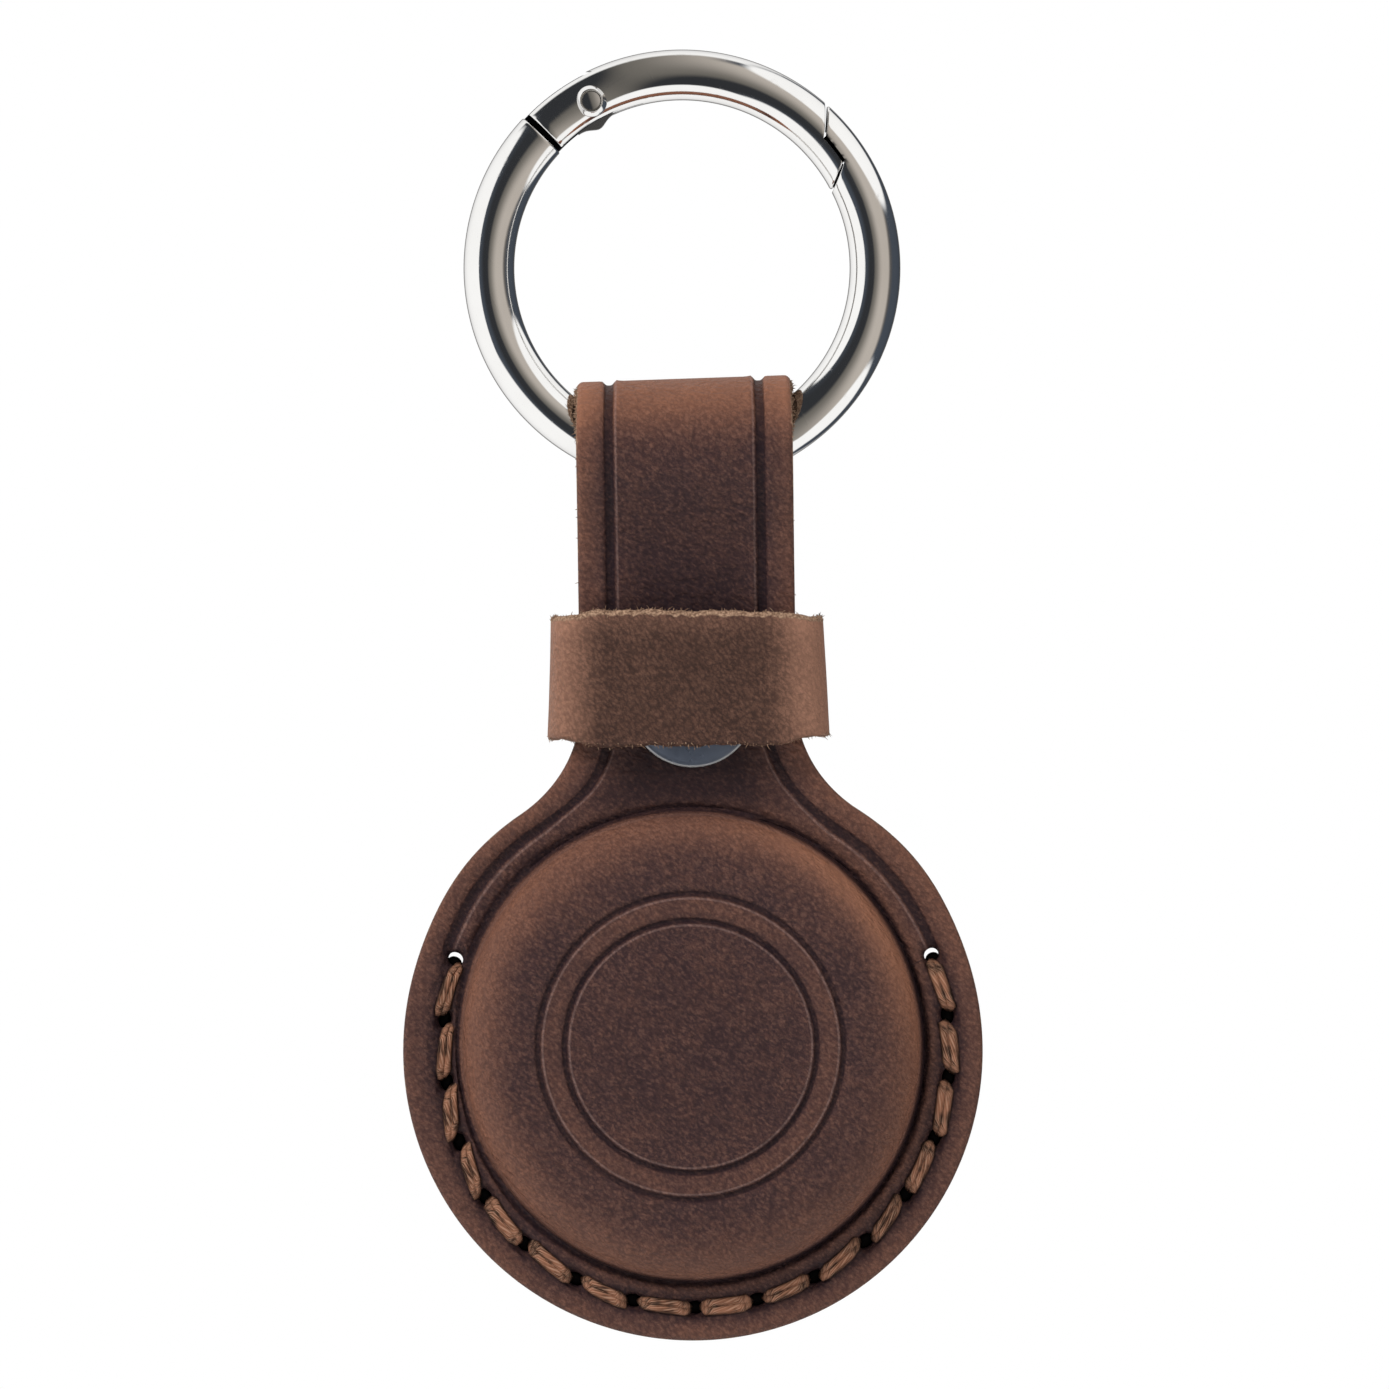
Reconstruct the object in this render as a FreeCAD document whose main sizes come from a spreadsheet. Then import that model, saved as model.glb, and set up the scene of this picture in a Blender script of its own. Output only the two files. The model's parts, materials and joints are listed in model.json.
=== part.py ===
import FreeCAD, Part
import os
import re
import Sketcher

# Leather tracker tag holder on a spring-gate ring.
# Millimetres. +Z is up, the front faces -Y, +X is to the right.
# The origin is the centre of the ring, and the holder hangs straight down from it.

# Driving dimensions: name, value, meaning. Angles are in degrees, anticlockwise from +X in the front view.
SIZES = [
    ("ring_mean_radius", 15.2, "centreline of the ring's wire"),
    ("wire_diameter", 4.0, "ring wire"),
    ("heel_angle", 135.0, "middle of the gap behind the gate's heel"),
    ("heel_gap", 0.7, "gap between the gate's heel and the ring's shoulder"),
    ("pin_angle", 117.6, "hinge pin"),
    ("nose_end_angle", 42.0, "outer half of the gate ends here on the centreline"),
    ("nose_lip_angle", 33.0, "inner half of the gate ends here on the centreline"),
    ("nose_slant", 6.0, "turn of the nose faces over one wire radius"),
    ("nose_gap", 0.4, "gap at the gate's nose"),
    ("lip_gap", 0.16, "gap between the gate's nose and the ring's lip"),
    ("tongue_thickness", 1.6, "hinge tongue of the ring"),
    ("tongue_side_gap", 0.1, "running gap on each side of the tongue"),
    ("tongue_half_width", 1.5, "tongue's reach either side of the centreline"),
    ("tongue_tip_gap", 0.6, "gap between the tongue's tip and the bottom of the gate's fork"),
    ("pin_radius", 0.75, "hinge pin shank"),
    ("pin_clearance", 0.04, "running clearance of the gate on the pin"),
    ("pin_seat_clearance", 0.01, "clearance of the pin in the tongue"),
    ("pin_head_radius", 1.25, "rivet head"),
    ("pin_head_seat", 1.5, "head's seat, from the middle plane"),
    ("pin_head_rise", 0.15, "head's rise above the wire"),
    ("pin_head_chamfer", 0.3, "chamfer of the head"),
    ("leaf_thickness", 0.3, "gate spring"),
    ("leaf_width", 1.2, "gate spring"),
    ("leaf_gap", 0.12, "gap between the leaf and what is round it"),
    ("leaf_heel_angle", 127.0, "free end of the leaf, on the tongue"),
    ("leaf_nose_angle", 101.0, "seated end of the leaf, in the gate"),
    ("leather_thickness", 1.3, "leather strip"),
    ("strap_width", 17.0, "strap"),
    ("loop_clearance", 0.1, "room for the wire inside the fold"),
    ("loop_straight", 1.2, "straight run of the strap below the fold's round"),
    ("disc_drop", 61.6, "disc centre below the ring's centre"),
    ("flare_radius", 10.0, "hollow round between strap and disc"),
    ("seam_half_gap", 0.1, "half the gap between the sewn layers"),
    ("seam_flat_margin", 1.9, "the sewn layers lie flat up to here, above the end holes"),
    ("neck_half_gap", 1.5, "half the gap between the layers at the snap"),
    ("neck_foot", 6.5, "foot of the parallel neck, below the head of the flare"),
    ("neck_head", 12.0, "head of the parallel neck, above the head of the flare"),
    ("dome_wall", 2.25, "leather bunched round the tag's edge"),
    ("flange_width", 4.6, "sewn flange round the dome"),
    ("dome_shoulder", 2.6, "round of the dome's shoulder"),
    ("ring_line_inset", 6.2, "outer pressed ring line, in from the dome's side"),
    ("ring_line_pitch", 2.1, "between the two pressed ring lines"),
    ("ring_line_width", 0.65, "pressed ring line"),
    ("ring_line_depth", 0.25, "pressed ring line"),
    ("seam_inset", 2.6, "stitch line, in from the rim"),
    ("seam_start_angle", 21.1, "first stitch hole"),
    ("seam_sweep", 222.8, "stitch line, clockwise round the bottom"),
    ("seam_holes", 17, "stitch holes"),
    ("stitch_hole_radius", 0.6, "awl hole"),
    ("thread_radius", 0.45, "thread inside a hole"),
    ("thread_width", 1.2, "stitch on the face"),
    ("thread_height", 0.5, "stitch on the face"),
    ("keeper_overlap", 2.8, "keeper's lower edge, below the head of the flare"),
    ("keeper_height", 10.1, "keeper band"),
    ("keeper_thickness", 1.2, "keeper leather"),
    ("keeper_side_gap", 0.8, "room between strap edge and keeper"),
    ("keeper_front_room", 1.6, "room in front of the neck, for the snap's cap"),
    ("keeper_back_room", 1.05, "room behind the neck, for the snap's post"),
    ("keeper_corner", 1.0, "inner corner round of the keeper"),
    ("keeper_slit", 0.12, "butt joint of the keeper's ends"),
    ("staple_span", 4.6, "between the staple's legs"),
    ("staple_wire", 0.5, "staple wire"),
    ("staple_rise", 0.2, "crown above the keeper's back"),
    ("staple_clearance", 0.02, "leg in its hole"),
    ("staple_leg_depth", 0.8, "leg's length in the leather"),
    ("snap_rise", 0.2, "snap's axis, above the head of the flare"),
    ("cap_radius", 5.0, "snap cap"),
    ("cap_rim", 0.45, "straight rim of the cap"),
    ("cap_height", 1.3, "cap's rise above the leather"),
    ("shank_radius", 1.5, "rivet shanks of the snap"),
    ("shank_clearance", 0.05, "shank in its holes"),
    ("clench_radius", 1.9, "clenched ends of the shanks"),
    ("clench_height", 0.22, "clenched ends of the shanks"),
    ("socket_radius", 4.4, "snap socket"),
    ("socket_floor", 0.55, "socket floor"),
    ("socket_depth", 1.95, "socket, floor to rim"),
    ("socket_mouth", 2.35, "mouth of the socket"),
    ("socket_groove", 2.75, "groove for the wire ring"),
    ("socket_rim", 0.3, "rim over the groove"),
    ("snap_wire", 0.5, "wire ring in the socket"),
    ("snap_wire_gap", 0.06, "room for the wire ring in its groove"),
    ("stud_radius", 4.2, "snap stud's base"),
    ("stud_base", 0.9, "stud's base"),
    ("stud_neck", 1.65, "stud's neck"),
    ("stud_head", 2.1, "stud's head"),
    ("stud_head_height", 0.25, "stud's head"),
    ("post_radius", 4.5, "flat post behind the back layer"),
    ("post_height", 0.7, "flat post"),
    ("tag_radius", 15.95, "disc tag"),
    ("tag_thickness", 8.0, "disc tag"),
    ("tag_edge", 1.8, "round of the tag's edges"),
    ("tag_clearance", 0.05, "leather round the tag"),
    ("tag_wall", 1.1, "tag shell"),
    ("tag_split", 1.4, "parting of shell and cover, behind the middle plane"),
    ("cover_thickness", 0.6, "steel cover"),
    ("cover_spigot", 1.0, "cover's skirt inside the shell"),
    ("cover_clearance", 0.05, "skirt in the shell"),
    ("seal_wire", 0.5, "seal between shell and cover"),
    ("board_edge_gap", 1.25, "between circuit board and shell"),
    ("board_thickness", 0.8, "circuit board"),
    ("board_front", 1.5, "board's front face, before the middle plane"),
    ("cell_radius", 10.0, "coin cell"),
    ("cell_thickness", 3.2, "coin cell"),
    ("cell_edge", 0.4, "chamfer of the cell's rim"),
    ("contact_length", 3.0, "spring tab"),
    ("contact_width", 1.6, "spring tab"),
    ("contact_height", 0.3, "spring tab"),
    ("contact_radius", 7.5, "circle of the spring tabs"),
    ("contact_count", 3, "spring tabs"),
    ("sounder_radius", 5.5, "sounder"),
    ("sounder_core", 2.6, "sounder's magnet"),
]

doc = FreeCAD.newDocument("tracker_tag_holder")
sheet = doc.addObject("Spreadsheet::Sheet", "sizes")
for row, (alias, value, meaning) in enumerate(SIZES, start=1):
    sheet.set(f"A{row}", meaning)
    sheet.set(f"B{row}", str(value))
    sheet.setAlias(f"B{row}", alias)
doc.recompute()

PREFIX = {alias: f"sizes.{alias}" for alias, value, meaning in SIZES}


def formula(text):
    """Point every dimension's name in a formula at its cell of the sheet."""
    return re.sub(r"[a-z_]+", lambda word: PREFIX.get(word[0], word[0]), text)


def number(text):
    """Present value of a formula."""
    value = sheet.evalExpression(formula(text).replace("sizes.", ""))
    return float(getattr(value, "Value", value))


def negative(text):
    """The same size the other way."""
    return f"0 - ( {text} )"


def polar(radius, angle):
    """Front-view point at a radius and angle about the body's own origin."""
    return f"( {radius} ) * cos( {angle} )", f"( {radius} ) * sin( {angle} )"


def make_body(label, x="0", z="0"):
    """Empty body whose own origin lies at x, z of the ring's frame."""
    body = doc.addObject("PartDesign::Body", label)
    body.Label = label
    body.setExpression("Placement.Base.x", formula(x))
    body.setExpression("Placement.Base.z", formula(z))
    return body


def make_sketch(body, role, forward="0"):
    """Sketch on one of the body's own planes, moved forward along the plane's normal."""
    sketch = body.newObject("Sketcher::SketchObject", f"{body.Label}_sketch")
    plane = next(item for item in body.Origin.OriginFeatures if item.Role == role)
    sketch.AttachmentSupport = [(plane, "")]
    sketch.MapMode = "FlatFace"
    sketch.setExpression("AttachmentOffset.Base.z", formula(forward))
    return sketch


def bind(sketch, constraint, text):
    """Add a constraint that follows a formula."""
    sketch.setExpression(f"Constraints[{sketch.addConstraint(constraint)}]", formula(text))


def draw_circle(sketch, x, y, radius):
    """Circle whose middle and radius are formulas."""
    centre = FreeCAD.Vector(number(x), number(y), 0)
    index = sketch.addGeometry(Part.Circle(centre, FreeCAD.Vector(0, 0, 1), number(radius)), False)
    bind(sketch, Sketcher.Constraint("Radius", index, number(radius)), radius)
    bind(sketch, Sketcher.Constraint("DistanceX", -1, 1, index, 3, centre.x), x)
    bind(sketch, Sketcher.Constraint("DistanceY", -1, 1, index, 3, centre.y), y)


def draw_outline(sketch, corners):
    """Closed outline. Each corner is x, y and, where the next run is an arc, its middle and turn.

    The turn is 1 for an anticlockwise arc and -1 for a clockwise one.
    """
    ends = []
    points = [FreeCAD.Vector(number(corner[0]), number(corner[1]), 0) for corner in corners]
    for place, corner in enumerate(corners):
        start = points[place]
        stop = points[(place + 1) % len(points)]
        if len(corner) == 2:
            index = sketch.addGeometry(Part.LineSegment(start, stop), False)
            ends.append((index, 1, 2))
            continue
        middle_x, middle_y, turn = corner[2:]
        middle = FreeCAD.Vector(number(middle_x), number(middle_y), 0)
        round_edge = Part.Circle(middle, FreeCAD.Vector(0, 0, 1), start.distanceToPoint(middle))
        first, last = (start, stop) if turn > 0 else (stop, start)
        arc = Part.ArcOfCircle(round_edge, round_edge.parameter(first), round_edge.parameter(last))
        index = sketch.addGeometry(arc, False)
        ends.append((index, 1, 2) if turn > 0 else (index, 2, 1))
        chord = stop - start
        if abs(chord.x) > abs(chord.y):
            bind(sketch, Sketcher.Constraint("DistanceY", -1, 1, index, 3, middle.y), middle_y)
        else:
            bind(sketch, Sketcher.Constraint("DistanceX", -1, 1, index, 3, middle.x), middle_x)
    for place, corner in enumerate(corners):
        index, begin, finish = ends[place]
        after = ends[(place + 1) % len(ends)]
        sketch.addConstraint(Sketcher.Constraint("Coincident", index, finish, after[0], after[1]))
        point = points[place]
        bind(sketch, Sketcher.Constraint("DistanceX", -1, 1, index, begin, point.x), corner[0])
        bind(sketch, Sketcher.Constraint("DistanceY", -1, 1, index, begin, point.y), corner[1])


def mirrored(corners):
    """The same outline points on the other side of the vertical axis, in reverse order."""
    return [(negative(x), y) for x, y in reversed(corners)]


def add_feature(body, kind, sketch, adds):
    """New feature of a body, with the body's volume before it."""
    before = body.Shape.Volume if body.Tip else 0.0
    feature = body.newObject(kind, f"{body.Label}_feature")
    feature.Profile = sketch
    return feature, before, adds


def settle(body, feature, before, adds):
    """Recompute, and refuse a feature that changed the volume the wrong way or not at all."""
    doc.recompute()
    change = body.Shape.Volume - before
    if (change > 0) != adds or change == 0:
        raise RuntimeError(f"{feature.Name} changed the volume of {body.Label} by {change}")
    return feature


def pad(body, sketch, length, reverse=False, symmetric=False):
    """Raise a sketch by a length."""
    feature, before, adds = add_feature(body, "PartDesign::Pad", sketch, True)
    feature.setExpression("Length", formula(length))
    feature.Reversed = reverse
    feature.Midplane = symmetric
    return settle(body, feature, before, adds)


def cut_through(body, sketch):
    """Cut right through the body, both ways from the sketch."""
    feature, before, adds = add_feature(body, "PartDesign::Pocket", sketch, False)
    feature.Type = "ThroughAll"
    feature.Midplane = True
    return settle(body, feature, before, adds)


def cut(body, sketch, depth, reverse=False, symmetric=False):
    """Cut a sketch into the body to a depth."""
    feature, before, adds = add_feature(body, "PartDesign::Pocket", sketch, False)
    feature.Type = "Length"
    feature.setExpression("Length", formula(depth))
    feature.Reversed = reverse
    feature.Midplane = symmetric
    return settle(body, feature, before, adds)


def turn_sketch(body, sketch, adds=True):
    """Turn a sketch of radius and depth round the body's own Y axis."""
    kind = "PartDesign::Revolution" if adds else "PartDesign::Groove"
    feature, before, adds = add_feature(body, kind, sketch, adds)
    feature.ReferenceAxis = (sketch, ["V_Axis"])
    feature.Angle = 360
    return settle(body, feature, before, adds)


def turn(body, corners, adds=True):
    """Turn a profile of straight runs and arcs."""
    sketch = make_sketch(body, "XY_Plane")
    draw_outline(sketch, corners)
    return turn_sketch(body, sketch, adds)


def turn_wire(body, radius, depth, wire_radius):
    """Turn a round wire."""
    sketch = make_sketch(body, "XY_Plane")
    draw_circle(sketch, radius, depth, wire_radius)
    return turn_sketch(body, sketch)


def repeat_round(body, feature, count, sweep):
    """Repeat a feature clockwise, seen from the front, round the body's own Y axis."""
    before = body.Shape.Volume
    pattern = body.newObject("PartDesign::PolarPattern", f"{body.Label}_pattern")
    pattern.Originals = [feature]
    axis = next(item for item in body.Origin.OriginFeatures if item.Role == "Y_Axis")
    pattern.Axis = (axis, [""])
    pattern.setExpression("Angle", formula(sweep))
    pattern.setExpression("Occurrences", formula(count))
    body.Tip = pattern
    doc.recompute()
    if body.Shape.Volume == before:
        raise RuntimeError(f"{pattern.Name} changed nothing")


def block(front, back, radius):
    """Profile of a plain round plate between two depths."""
    return [("0", front), (radius, front), (radius, back), ("0", back)]


def collar(front, back, inner, outer):
    """Profile of a round plate with a bore."""
    return [(inner, front), (outer, front), (outer, back), (inner, back)]


# Ring: a round wire, opened between the heel and the nose of the gate.
# Outlines that cut the wire reach one and a half wire radii from its centreline.
WIRE = "( wire_diameter / 2 )"
CUT_REACH = "1.5"
INSIDE = f"ring_mean_radius - {CUT_REACH} * {WIRE}"
OUTSIDE = f"ring_mean_radius + {CUT_REACH} * {WIRE}"
NOSE_RUN = f"{CUT_REACH} * nose_slant"
HEEL_TURN = "heel_gap / 2 / ring_mean_radius * 180 / pi"
NOSE_TURN = "nose_gap / ring_mean_radius * 180 / pi"
PIN_X, PIN_Z = polar("ring_mean_radius", "pin_angle")


def wire_ring(label):
    """Whole turn of the ring's wire, to be cut to length."""
    body = make_body(label)
    turn_wire(body, "ring_mean_radius", "0", WIRE)
    return body


def gate_outline(heel, end, lip, step):
    """Front view of the gate's share of the ring, from the heel clockwise to the stepped nose."""
    return [
        polar(INSIDE, heel),
        polar(OUTSIDE, heel) + ("0", "0", -1),
        polar(OUTSIDE, f"{end} + {NOSE_RUN}"),
        polar(step, end) + ("0", "0", -1),
        polar(step, lip),
        polar(INSIDE, f"{lip} - {NOSE_RUN}") + ("0", "0", 1),
    ]


def sector(inner, outer, first, last):
    """Front view of a band between two radii, from the first angle clockwise to the last."""
    return [
        polar(inner, first),
        polar(outer, first) + ("0", "0", -1),
        polar(outer, last),
        polar(inner, last) + ("0", "0", 1),
    ]


TONGUE_LOW = "ring_mean_radius - tongue_half_width"
TONGUE_HIGH = "ring_mean_radius + tongue_half_width"
FORK_RADIUS = "tongue_half_width + tongue_tip_gap"
FORK_WIDTH = "tongue_thickness + 2 * tongue_side_gap"
LEAF_HIGH = "ring_mean_radius - tongue_half_width - leaf_gap"
LEAF_LOW = f"{LEAF_HIGH} - leaf_thickness"

ring_body = wire_ring("ring_body")
mouth = make_sketch(ring_body, "XZ_Plane")
shoulder = f"heel_angle + {HEEL_TURN}"
draw_outline(mouth, gate_outline(
    shoulder,
    f"nose_end_angle - {NOSE_TURN}",
    f"nose_lip_angle - {NOSE_TURN}",
    "ring_mean_radius + lip_gap / 2",
))
cut_through(ring_body, mouth)
tongue = make_sketch(ring_body, "XZ_Plane")
draw_outline(tongue, sector(TONGUE_LOW, TONGUE_HIGH, f"{shoulder} + {HEEL_TURN}", "pin_angle"))
pad(ring_body, tongue, "tongue_thickness", symmetric=True)
tongue_tip = make_sketch(ring_body, "XZ_Plane")
draw_circle(tongue_tip, PIN_X, PIN_Z, "tongue_half_width")
pad(ring_body, tongue_tip, "tongue_thickness", symmetric=True)
tongue_bore = make_sketch(ring_body, "XZ_Plane")
draw_circle(tongue_bore, PIN_X, PIN_Z, "pin_radius + pin_seat_clearance")
cut_through(ring_body, tongue_bore)

# Gate: the rest of the wire, forked over the tongue.
ring_gate = wire_ring("ring_gate")
gate_edge = make_sketch(ring_gate, "XZ_Plane")
draw_circle(gate_edge, "0", "0", "ring_mean_radius + 2 * wire_diameter")
draw_outline(gate_edge, gate_outline(
    f"heel_angle - {HEEL_TURN}",
    "nose_end_angle",
    "nose_lip_angle",
    "ring_mean_radius - lip_gap / 2",
))
cut_through(ring_gate, gate_edge)
fork = make_sketch(ring_gate, "XZ_Plane")
draw_outline(fork, sector(INSIDE, OUTSIDE, shoulder, "pin_angle"))
cut(ring_gate, fork, FORK_WIDTH, symmetric=True)
fork_end = make_sketch(ring_gate, "XZ_Plane")
draw_circle(fork_end, PIN_X, PIN_Z, FORK_RADIUS)
cut(ring_gate, fork_end, FORK_WIDTH, symmetric=True)
leaf_seat = make_sketch(ring_gate, "XZ_Plane")
draw_outline(leaf_seat, sector(INSIDE, f"{LEAF_HIGH} + leaf_gap / 2", "pin_angle", "leaf_nose_angle"))
cut(ring_gate, leaf_seat, "leaf_width + 2 * leaf_gap", symmetric=True)
gate_bore = make_sketch(ring_gate, "XZ_Plane")
draw_circle(gate_bore, PIN_X, PIN_Z, "pin_radius + pin_clearance")
cut_through(ring_gate, gate_bore)
for back in (False, True):
    side = "pin_head_seat - pin_clearance"
    head_seat = make_sketch(ring_gate, "XZ_Plane", negative(side) if back else side)
    draw_circle(head_seat, PIN_X, PIN_Z, "pin_head_radius + pin_clearance")
    cut(ring_gate, head_seat, "wire_diameter", reverse=not back)

# Hinge pin: a rivet with a chamfered head on each face.
gate_pin = make_body("gate_pin", PIN_X, PIN_Z)
HEAD_TOP = f"{WIRE} + pin_head_rise"
half_pin = [
    ("pin_radius", "0"),
    ("pin_radius", "pin_head_seat"),
    ("pin_head_radius", "pin_head_seat"),
    ("pin_head_radius", f"{HEAD_TOP} - pin_head_chamfer"),
    ("pin_head_radius - pin_head_chamfer", HEAD_TOP),
    ("0", HEAD_TOP),
]
turn(gate_pin, half_pin[1:] + [(x, negative(y)) for x, y in reversed(half_pin[1:])])

# Gate spring: a leaf seated along the gate's inner edge, its free end on the tongue.
gate_spring = make_body("gate_spring")
leaf = make_sketch(gate_spring, "XZ_Plane")
draw_outline(leaf, sector(LEAF_LOW, LEAF_HIGH, "leaf_heel_angle", f"leaf_nose_angle + {HEEL_TURN}"))
pad(gate_spring, leaf, "leaf_width", symmetric=True)

# Leather strip: disc, neck and strap, folded over the wire with its axis along X.
DISC_Z = negative("disc_drop")
EYE_DROP = f"sqrt( ( ring_mean_radius - {WIRE} ) ^ 2 - ( strap_width / 2 ) ^ 2 )"
LOOP_HEIGHT = f"( disc_drop - ( ring_mean_radius + {WIRE} + {EYE_DROP} ) / 2 )"
LOOP_RADIUS = f"( ( ring_mean_radius + {WIRE} - {EYE_DROP} ) / 2 + loop_clearance )"
DOME_RADIUS = "( tag_radius + dome_wall )"
DISC_RADIUS = f"( {DOME_RADIUS} + flange_width )"
SEAM_RADIUS = f"( {DISC_RADIUS} - seam_inset )"
SEAM_TOP = f"( {SEAM_RADIUS} * sin( seam_start_angle ) + seam_flat_margin )"
FLARE_X = "( strap_width / 2 + flare_radius )"
FLARE_Z = f"sqrt( ( {DISC_RADIUS} + flare_radius ) ^ 2 - {FLARE_X} ^ 2 )"
FLARE_SHARE = f"{DISC_RADIUS} / ( {DISC_RADIUS} + flare_radius )"
SNAP_HEIGHT = f"( {FLARE_Z} + snap_rise )"
MARGIN = "leather_thickness"
TOP = f"( {LOOP_HEIGHT} + {LOOP_RADIUS} + 2 * leather_thickness )"


def side_profile(skin):
    """Side view of the folded strip, out to the inner face plus a skin."""
    rising = [
        (f"seam_half_gap + {skin}", f"0 - {DISC_RADIUS} - {MARGIN}"),
        (f"seam_half_gap + {skin}", SEAM_TOP),
        (f"neck_half_gap + {skin}", f"{FLARE_Z} - neck_foot"),
        (f"neck_half_gap + {skin}", f"{FLARE_Z} + neck_head"),
        (f"{LOOP_RADIUS} + {skin}", f"{LOOP_HEIGHT} - loop_straight"),
        (f"{LOOP_RADIUS} + {skin}", LOOP_HEIGHT),
    ]
    falling = mirrored(rising)
    rising[-1] = rising[-1] + ("0", LOOP_HEIGHT, 1)
    return rising + falling


def dome_profile(radius, half, shoulder_round):
    """Lens with flat faces and round shoulders, as radius and depth."""
    knee = f"{radius} - ( {shoulder_round} )"
    depth = f"{half} - ( {shoulder_round} )"
    return [
        ("0", negative(half)),
        (knee, negative(half), knee, negative(depth), 1),
        (radius, negative(depth)),
        (radius, depth, knee, depth, 1),
        (knee, half),
        ("0", half),
    ]


TAG_HALF = "tag_thickness / 2"
DOME_HALF = f"{TAG_HALF} + tag_clearance + leather_thickness"

leather_body = make_body("leather_body", z=DISC_Z)
strip = make_sketch(leather_body, "YZ_Plane")
draw_outline(strip, side_profile("leather_thickness"))
pad(leather_body, strip, f"2 * {DISC_RADIUS} + 2 * {MARGIN}", symmetric=True)
trim = make_sketch(leather_body, "XZ_Plane")
draw_circle(trim, "0", "0", f"disc_drop + {DISC_RADIUS} + {MARGIN}")
flare_foot = (f"{FLARE_SHARE} * {FLARE_X}", f"{FLARE_SHARE} * {FLARE_Z}")
draw_outline(trim, [
    (negative(flare_foot[0]), flare_foot[1], "0", "0", 1),
    flare_foot + (FLARE_X, FLARE_Z, -1),
    ("strap_width / 2", FLARE_Z),
    ("strap_width / 2", TOP),
    (negative("strap_width / 2"), TOP),
    (negative("strap_width / 2"), FLARE_Z, negative(FLARE_X), FLARE_Z, -1),
])
cut_through(leather_body, trim)
turn(leather_body, dome_profile(DOME_RADIUS, DOME_HALF, "dome_shoulder"))
turn(
    leather_body,
    dome_profile("( tag_radius + tag_clearance )", f"{TAG_HALF} + tag_clearance", "tag_edge"),
    adds=False,
)
layers = make_sketch(leather_body, "YZ_Plane")
draw_outline(layers, side_profile("0"))
cut_through(leather_body, layers)
OUTER_LINE = f"( {DOME_RADIUS} - ring_line_inset )"
for line in (OUTER_LINE, f"( {OUTER_LINE} - ring_line_pitch )"):
    near = f"{line} - ring_line_width / 2"
    far = f"{line} + ring_line_width / 2"
    floor = f"{DOME_HALF} - ring_line_depth"
    clear = f"{DOME_HALF} + ring_line_depth"
    turn(leather_body, collar(floor, clear, near, far), adds=False)
    turn(leather_body, collar(negative(clear), negative(floor), near, far), adds=False)
snap_hole = make_sketch(leather_body, "XZ_Plane")
draw_circle(snap_hole, "0", SNAP_HEIGHT, "shank_radius + shank_clearance")
cut_through(leather_body, snap_hole)
first_hole = make_sketch(leather_body, "XZ_Plane")
draw_circle(first_hole, *polar(SEAM_RADIUS, "seam_start_angle"), "stitch_hole_radius")
repeat_round(leather_body, cut_through(leather_body, first_hole), "seam_holes", "seam_sweep")

# Seam thread: a post in every hole and a stitch on both faces between neighbours.
seam_thread = make_body("seam_thread", z=DISC_Z)
FACE = "( seam_half_gap + leather_thickness )"
STEP = "seam_sweep / ( seam_holes - 1 )"
MIDDLE = f"( seam_start_angle - {STEP} / 2 )"
CHORD = f"{SEAM_RADIUS} * cos( {STEP} / 2 )"
REACH = f"( {SEAM_RADIUS} * sin( {STEP} / 2 ) )"
post = make_sketch(seam_thread, "XZ_Plane")
draw_circle(post, *polar(SEAM_RADIUS, "seam_start_angle"), "thread_radius")
first_post = pad(seam_thread, post, f"2 * {FACE} + thread_height", symmetric=True)
repeat_round(seam_thread, first_post, "seam_holes", "seam_sweep")


def stitch_corner(along, out):
    """Corner of the first stitch: a distance along its chord and a distance out from it."""
    radial = f"( {CHORD} + {out} )"
    x = f"{radial} * cos( {MIDDLE} ) - ( {along} ) * sin( {MIDDLE} )"
    z = f"{radial} * sin( {MIDDLE} ) + ( {along} ) * cos( {MIDDLE} )"
    return x, z


for back in (False, True):
    stitch = make_sketch(seam_thread, "XZ_Plane", negative(FACE) if back else FACE)
    half_width = "thread_width / 2"
    half_length = f"{REACH} + thread_radius"
    draw_outline(stitch, [
        stitch_corner(negative(half_length), negative(half_width)),
        stitch_corner(negative(half_length), half_width),
        stitch_corner(half_length, half_width),
        stitch_corner(half_length, negative(half_width)),
    ])
    first_stitch = pad(seam_thread, stitch, "thread_height", reverse=back)
    repeat_round(seam_thread, first_stitch, "seam_holes - 1", f"seam_sweep - {STEP}")

# Keeper: a band of leather round the neck, butted at the back and stapled.
KEEPER_Z = f"{FLARE_Z} - keeper_overlap - disc_drop"
NECK_FACE = "( neck_half_gap + leather_thickness )"


def keeper_ring(skin):
    """Top view of the keeper's inner face, plus a skin."""
    wide = f"( strap_width / 2 + keeper_side_gap + {skin} )"
    front = f"( 0 - {NECK_FACE} - keeper_front_room - {skin} )"
    back = f"( {NECK_FACE} + keeper_back_room + {skin} )"
    corner = f"( keeper_corner + {skin} )"
    left = negative(wide)
    return [
        (f"{left} + {corner}", front),
        (f"{wide} - {corner}", front, f"{wide} - {corner}", f"{front} + {corner}", 1),
        (wide, f"{front} + {corner}"),
        (wide, f"{back} - {corner}", f"{wide} - {corner}", f"{back} - {corner}", 1),
        (f"{wide} - {corner}", back),
        (f"{left} + {corner}", back, f"{left} + {corner}", f"{back} - {corner}", 1),
        (left, f"{back} - {corner}"),
        (left, f"{front} + {corner}", f"{left} + {corner}", f"{front} + {corner}", 1),
    ]


def box_outline(low_x, high_x, low_y, high_y):
    """Plain rectangle."""
    return [(low_x, low_y), (high_x, low_y), (high_x, high_y), (low_x, high_y)]


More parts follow.
